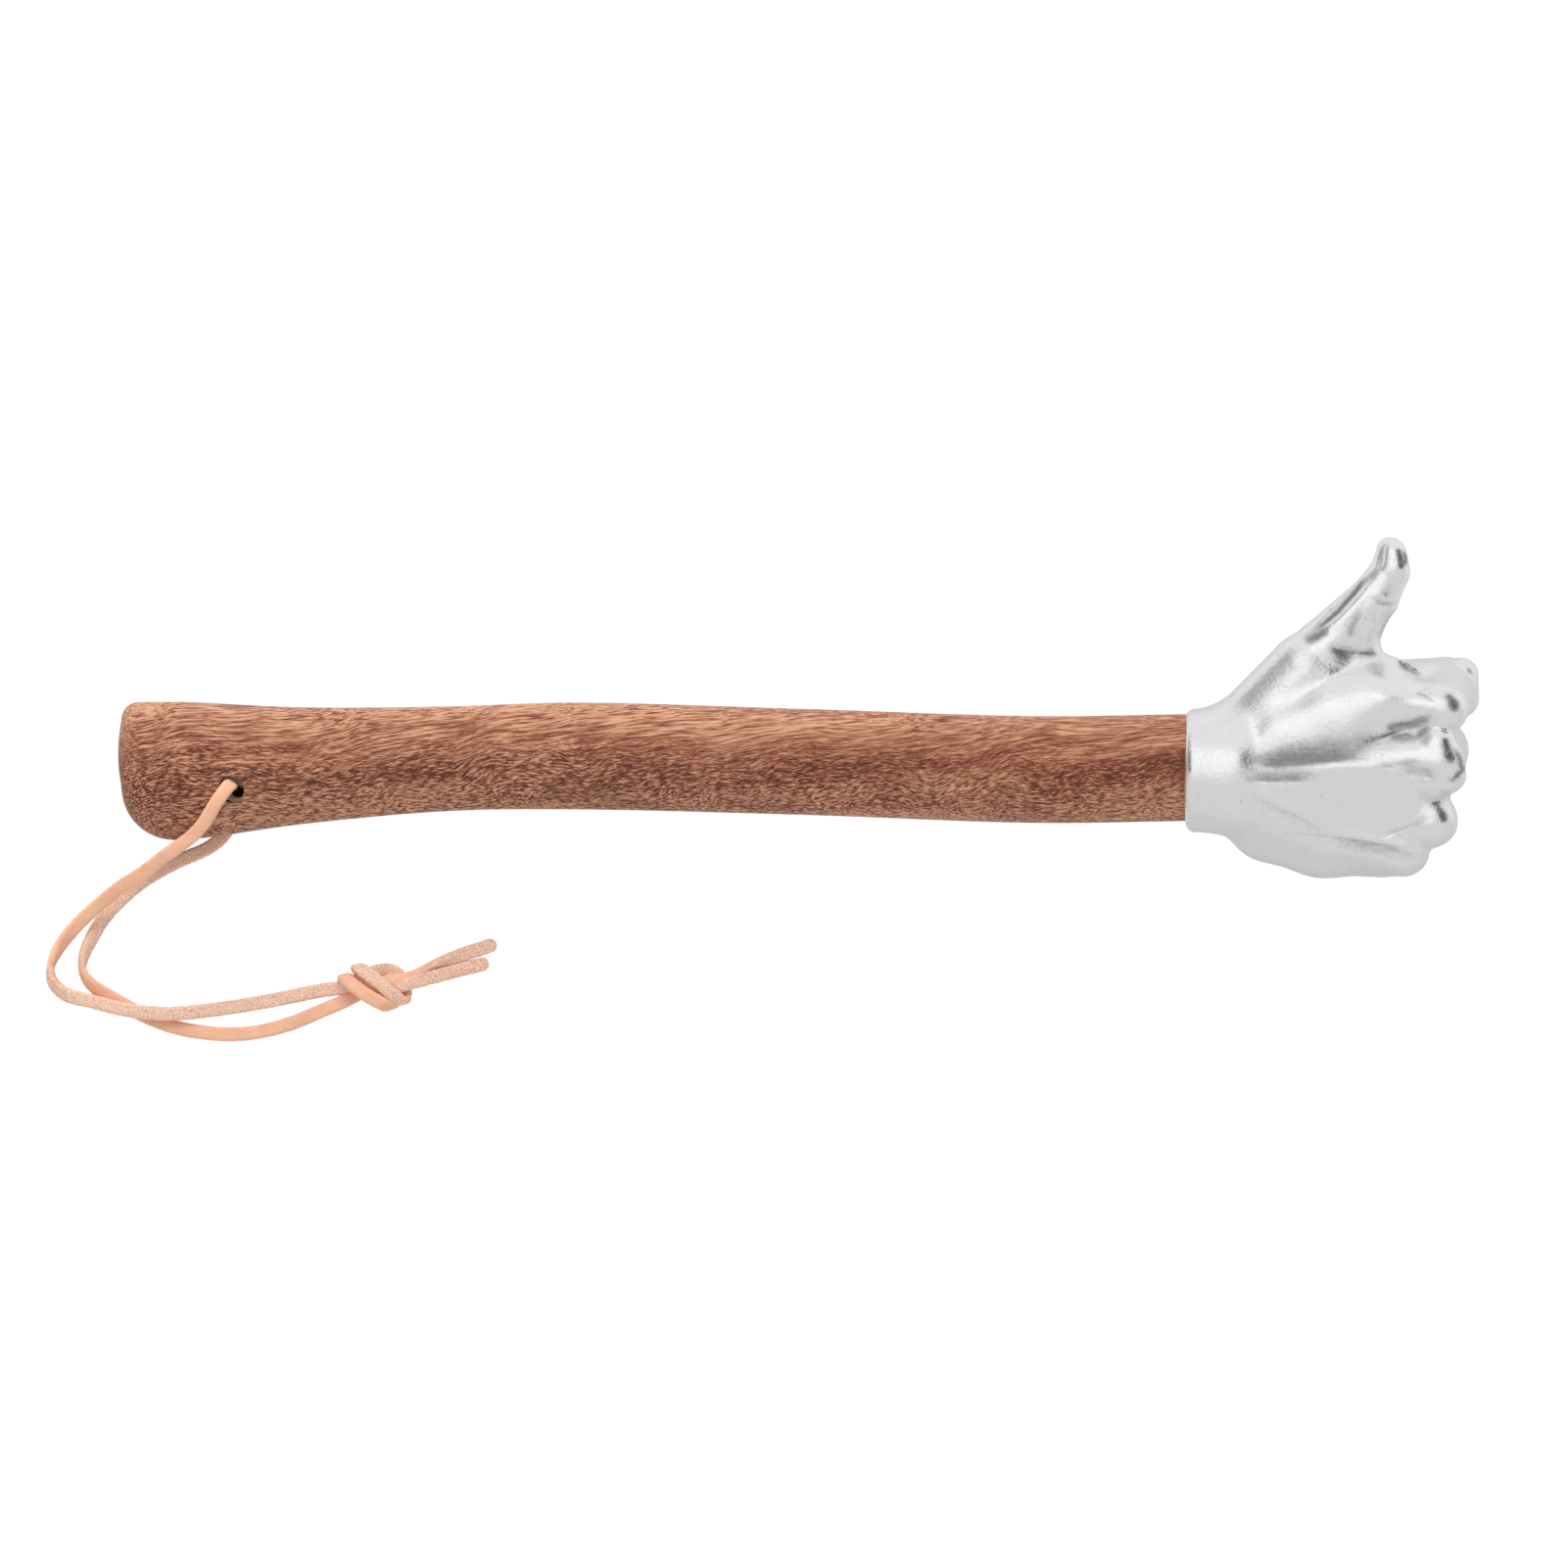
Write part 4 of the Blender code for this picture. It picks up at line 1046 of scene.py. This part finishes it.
def lace_strip(side, width, thickness):
    """A rounded flat profile carried along half a lace, turned by its reference and lean, lifted clear of the
    floor, rounded at its cut end and frayed at its edges. Gives the strip's points, its faces, how much of
    each point is flesh side, and the line it follows."""
    rows = evenly(smooth_curve(lace_rows(side)), LACE_STEP)
    rows[:, 2] = np.maximum(rows[:, 2], thickness / 2 + LINE_GAP)
    for _ in range(LACE_EASING):
        rows[1:-1] = (rows[:-2] + 2 * rows[1:-1] + rows[2:]) / 4
    line = rows[:, :3]
    ahead = np.gradient(line, axis=0)
    ahead /= np.linalg.norm(ahead, axis=1, keepdims=True)
    up = rows[:, 3:6] - np.einsum("ij,ij->i", rows[:, 3:6], ahead)[:, None] * ahead
    up /= np.linalg.norm(up, axis=1, keepdims=True)
    left = np.cross(up, ahead)
    lean = np.radians(rows[:, 6:7])
    grain = up * np.cos(lean) + left * np.sin(lean)
    edge = np.cross(grain, ahead)
    lowest = np.abs(edge[:, 2]) * width / 2 + np.abs(grain[:, 2]) * thickness / 2 + SKIN_GAP
    lift = np.maximum(lowest - line[:, 2], 0.0)
    for _ in range(LACE_EASING):
        lift = np.maximum(lift, np.convolve(np.pad(lift, 1, mode="edge"), (0.25, 0.5, 0.25), mode="valid"))
    line[:, 2] += lift
    angles = np.linspace(0.0, math.tau, LACE_SIDES, endpoint=False) + math.tau / (2 * LACE_SIDES)
    across = np.sign(np.cos(angles)) * np.abs(np.cos(angles)) ** FACE_POWER * width / 2
    rise = np.sign(np.sin(angles)) * np.abs(np.sin(angles)) ** EDGE_POWER * thickness / 2
    rest = np.linspace(len(line) - 1.0, 0.0, len(line)) * LACE_STEP / TAIL_ROUND
    tongue = np.sqrt(np.clip(1.0 - np.clip(1.0 - rest, 0.0, 1.0) ** 2, 0.1, 1.0))
    rings = line[:, None] + rise[:, None] * grain[:, None]
    rings = rings + tongue[:, None, None] * across[:, None] * edge[:, None]
    fray = EDGE_FRAY * ragged(len(line), LACE_SIDES) * (np.abs(across) > FRAYED_FROM * width)
    rings = rings + (np.sign(across) * fray * tongue[:, None])[..., None] * edge[:, None]
    points = np.vstack([rings.reshape(-1, 3), line[:1], line[-1:]])
    flesh = np.clip(0.42 - 0.75 * rise / (thickness / 2), 0.0, 1.0)
    flesh = np.concatenate([np.tile(flesh, len(line)), [0.8, 0.8]])
    return points, ring_faces(len(line), LACE_SIDES), flesh, line


class MALLET_OT_stage(bpy.types.Operator):
    """Sets the floor, the tent of light, the lamp and the camera"""

    bl_idname = "mallet.stage"
    bl_label = "Stage"

    def execute(self, context):
        settings = context.scene.mallet_stage
        self.hole, self.hand = laid(np.array([[*hole_place()[:2], 0.0], HAND_MIDDLE]))[:, :2]
        context.scene.view_settings.view_transform = "Standard"
        self.floor(settings)
        self.tent(context, settings)
        self.lamp(settings)
        self.camera(context)
        return {"FINISHED"}

    def floor(self, settings):
        """A wide floor, white to the eye and pale in reflections, that keeps the object's shadow. Under the
        thong's hole it is left to the light alone, so that the hole looks dark. In reflections it glows with
        painted light, lighter towards the thumb's side and dimmer round the hand as a painted shadow."""
        corners = [(FLOOR_HALF * x, FLOOR_HALF * y, 0.0) for x, y in ((-1, -1), (1, -1), (1, 1), (-1, 1))]
        mesh = bpy.data.meshes.new("floor")
        mesh.from_pydata(corners, [], [(0, 1, 2, 3)])
        material = bpy.data.materials.new("white_floor")
        material.use_nodes = True
        tree = material.node_tree
        shader = tree.nodes["Principled BSDF"]
        shader.inputs["Base Color"].default_value = colour(settings.floor_tone)
        shader.inputs["Roughness"].default_value = 0.9
        shader.inputs["Specular IOR Level"].default_value = 0.1
        path = tree.nodes.new("ShaderNodeLightPath")
        eye = Wire(tree, path.outputs["Is Camera Ray"])
        gloss = Wire(tree, path.outputs["Is Glossy Ray"]) + Wire(tree, path.outputs["Is Transmission Ray"])
        place = Wire(tree, tree.nodes.new("ShaderNodeTexCoord").outputs["Object"])
        distance = {"operation": "DISTANCE"}
        far = place.node("ShaderNodeVectorMath", distance, {0: place, 1: (*self.hole, 0.0)}, 1)
        seen = eye * far.step(0.004, 0.009) * 0.92 + gloss
        glow = tree.nodes.new("ShaderNodeEmission")
        glow.inputs["Color"].default_value = (1.0, 1.0, 1.0, 1.0)
        sideways = place.node("ShaderNodeSeparateXYZ", None, {"Vector": place}, "Y")
        reach = place.node("ShaderNodeVectorMath", distance, {0: place, 1: (*self.hand, 0.0)}, 1)
        # Painted light in reflections: lighter towards the thumb's side, and a painted shadow round the hand
        plain = settings.floor_mirror + sideways.step(-0.09, 0.05) * 0.22
        mirror = plain * (reach.step(0.035, 0.085) * 0.16 + 0.86)
        tree.links.new((eye * 1.06 + gloss * mirror).socket, glow.inputs["Strength"])
        mixed = seen.node("ShaderNodeMixShader", None, {0: seen})
        tree.links.new(shader.outputs[0], mixed.socket.node.inputs[1])
        tree.links.new(glow.outputs[0], mixed.socket.node.inputs[2])
        tree.links.new(mixed.socket, tree.nodes["Material Output"].inputs["Surface"])
        mesh.materials.append(material)
        floor = bpy.data.objects.new("floor", mesh)
        bpy.context.collection.objects.link(floor)

    def tent(self, context, settings):
        """A tent of even light: brighter overhead and towards the thumb, with a dark card at each end."""
        world = bpy.data.worlds.new("tent")
        context.scene.world = world
        world.use_nodes = True
        tree = world.node_tree
        way = Wire(tree, tree.nodes.new("ShaderNodeTexCoord").outputs["Generated"])
        thumbward = way.facing((0.0, 1.0, 0.0))
        walls = thumbward.step(0.0, 0.9) * 0.14 + settings.tent
        box = way.facing((-0.30, 0.35, 1.0)).step(0.80, 0.97) * 0.29
        right = way.facing((0.73, 0.30, 0.61)).step(0.90, 0.96) * 0.90
        left = way.facing((-0.90, 0.40, 0.25)).step(0.78, 0.98) * 0.45
        mirror = (walls + box) * (1 - right) * (1 - left)
        soft = thumbward * thumbward * 0.90 + 0.52
        path = tree.nodes.new("ShaderNodeLightPath")
        eye = Wire(tree, path.outputs["Is Camera Ray"])
        gloss = Wire(tree, path.outputs["Is Glossy Ray"])
        level = eye + (1 - eye) * (gloss * mirror + (1 - gloss) * soft)
        tint = thumbward.step(-0.5, 0.6).mix((1.0, 0.972, 0.966, 1.0), (0.985, 0.985, 1.0, 1.0))
        tint = eye.mix(tint, (1.0, 1.0, 1.0, 1.0))
        tree.links.new(level.socket, tree.nodes["Background"].inputs["Strength"])
        tree.links.new(tint.socket, tree.nodes["Background"].inputs["Color"])

    def lamp(self, settings):
        """One large soft lamp from the thumb's side, kept out of reflections, which show the tent."""
        light = bpy.data.lights.new("soft_lamp", "AREA")
        light.shape = "DISK"
        light.size = LAMP_SIZE
        light.energy = settings.lamp
        lamp = bpy.data.objects.new("soft_lamp", light)
        lamp.location = LAMP_PLACE
        side, ahead, up = LAMP_PLACE
        lamp.rotation_euler = (-math.atan2(ahead, up), math.atan2(side, math.hypot(ahead, up)), 0.0)
        lamp.visible_glossy = False
        bpy.context.collection.objects.link(lamp)

    def camera(self, context):
        """A far camera straight above, so that heights hardly shift the plan."""
        eye = bpy.data.cameras.new("camera")
        eye.sensor_width = 36.0
        eye.lens = eye.sensor_width * CAMERA_HEIGHT / FIELD
        eye.clip_end = 100.0
        camera = bpy.data.objects.new("camera", eye)
        camera.location = (*VIEW_CENTRE, CAMERA_HEIGHT)
        bpy.context.collection.objects.link(camera)
        context.scene.camera = camera


class MALLET_OT_thong(bpy.types.Operator):
    """Lays both halves of the leather lace, with their knot"""

    bl_idname = "mallet.thong"
    bl_label = "Thong"

    def execute(self, context):
        settings = context.scene.mallet_thong
        leather = finish("lace_leather", lace_leather, {"Specular IOR Level": 0.3})
        along, across, mouth = hole_place()
        for name, side in (("thong_front", 1), ("thong_back", -1)):
            points, faces, flesh, line = lace_strip(side, settings.width / MM, settings.thickness / MM)
            piece = piece_from(name + "_lace", points * MM, faces, leather, "thong", name)
            mark(piece, "flesh", flesh)
            piece.data.set_sharp_from_angle(angle=math.radians(LACE_CREASE_DEG))
            laid(np.array([[along, across, side * mouth]]))[0]
            (line * MM).tolist()
        return {"FINISHED"}


class MALLET_OT_handle(bpy.types.Operator):
    """Turns the wooden handle and drills its hole"""

    bl_idname = "mallet.handle"
    bl_label = "Handle"

    def execute(self, context):
        settings = context.scene.mallet_handle
        rings = handle_rings(settings.sides, settings.ring_step / MM)
        tip = rings[0].mean(axis=0) * (0, 1, 1) + (-HANDLE_LENGTH, 0, 0)
        points = np.vstack([rings.reshape(-1, 3), tip, rings[-1].mean(axis=0)])
        wood = finish("oiled_wood", oiled_wood, {"Specular IOR Level": 0.25})
        faces = ring_faces(len(rings), settings.sides)
        handle = piece_from("wooden_handle", laid(points), faces, wood, "mallet", "handle")
        drilled(handle)
        return {"FINISHED"}


class MALLET_OT_hand(bpy.types.Operator):
    """Casts the hand with its collar, and finishes the hidden stud"""

    bl_idname = "mallet.hand"
    bl_label = "Hand"

    def execute(self, context):
        settings = context.scene.mallet_hand
        points, faces, dark = hand_skin(settings.step / MM)
        metal = finish("cast_metal", cast_metal, {"Metallic": 1.0})
        hand = piece_from("cast_hand", laid(points), faces.tolist(), metal, "mallet", "fist_head")
        # Stroke darkness, painted shade and painted dark reflections, goes to the metal's colour
        mark(hand, "recess", dark)
        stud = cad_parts["head_stud"]
        stud.data.materials.clear()
        stud.data.materials.append(finish("stud_steel", stud_steel, {"Metallic": 1.0}))
        return {"FINISHED"}


class MALLET_PT_pieces(bpy.types.Panel):
    """The mallet's pieces and their settings"""

    bl_idname = "MALLET_PT_pieces"
    bl_label = "Mallet"
    bl_space_type = "VIEW_3D"
    bl_region_type = "UI"
    bl_category = "Mallet"

    def draw(self, context):
        for operator, settings in (
            ("mallet.stage", "mallet_stage"),
            ("mallet.thong", "mallet_thong"),
            ("mallet.handle", "mallet_handle"),
            ("mallet.hand", "mallet_hand"),
        ):
            box = self.layout.box()
            box.operator(operator)
            group = getattr(context.scene, settings)
            for name in group.__annotations__:
                box.prop(group, name)


CLASSES = (
    HandSettings,
    HandleSettings,
    ThongSettings,
    StageSettings,
    MALLET_OT_stage,
    MALLET_OT_thong,
    MALLET_OT_handle,
    MALLET_OT_hand,
    MALLET_PT_pieces,
)
GROUPS = {
    "mallet_hand": HandSettings,
    "mallet_handle": HandleSettings,
    "mallet_thong": ThongSettings,
    "mallet_stage": StageSettings,
}


def register():
    for part in CLASSES:
        bpy.utils.register_class(part)
    for name, group in GROUPS.items():
        setattr(bpy.types.Scene, name, bpy.props.PointerProperty(type=group))


def unregister():
    for name in GROUPS:
        delattr(bpy.types.Scene, name)
    for part in reversed(CLASSES):
        bpy.utils.unregister_class(part)


def main():
    register()
    bpy.ops.mallet.stage()
    bpy.ops.mallet.thong()
    bpy.ops.mallet.handle()
    bpy.ops.mallet.hand()


if __name__ == "__main__":
    main()
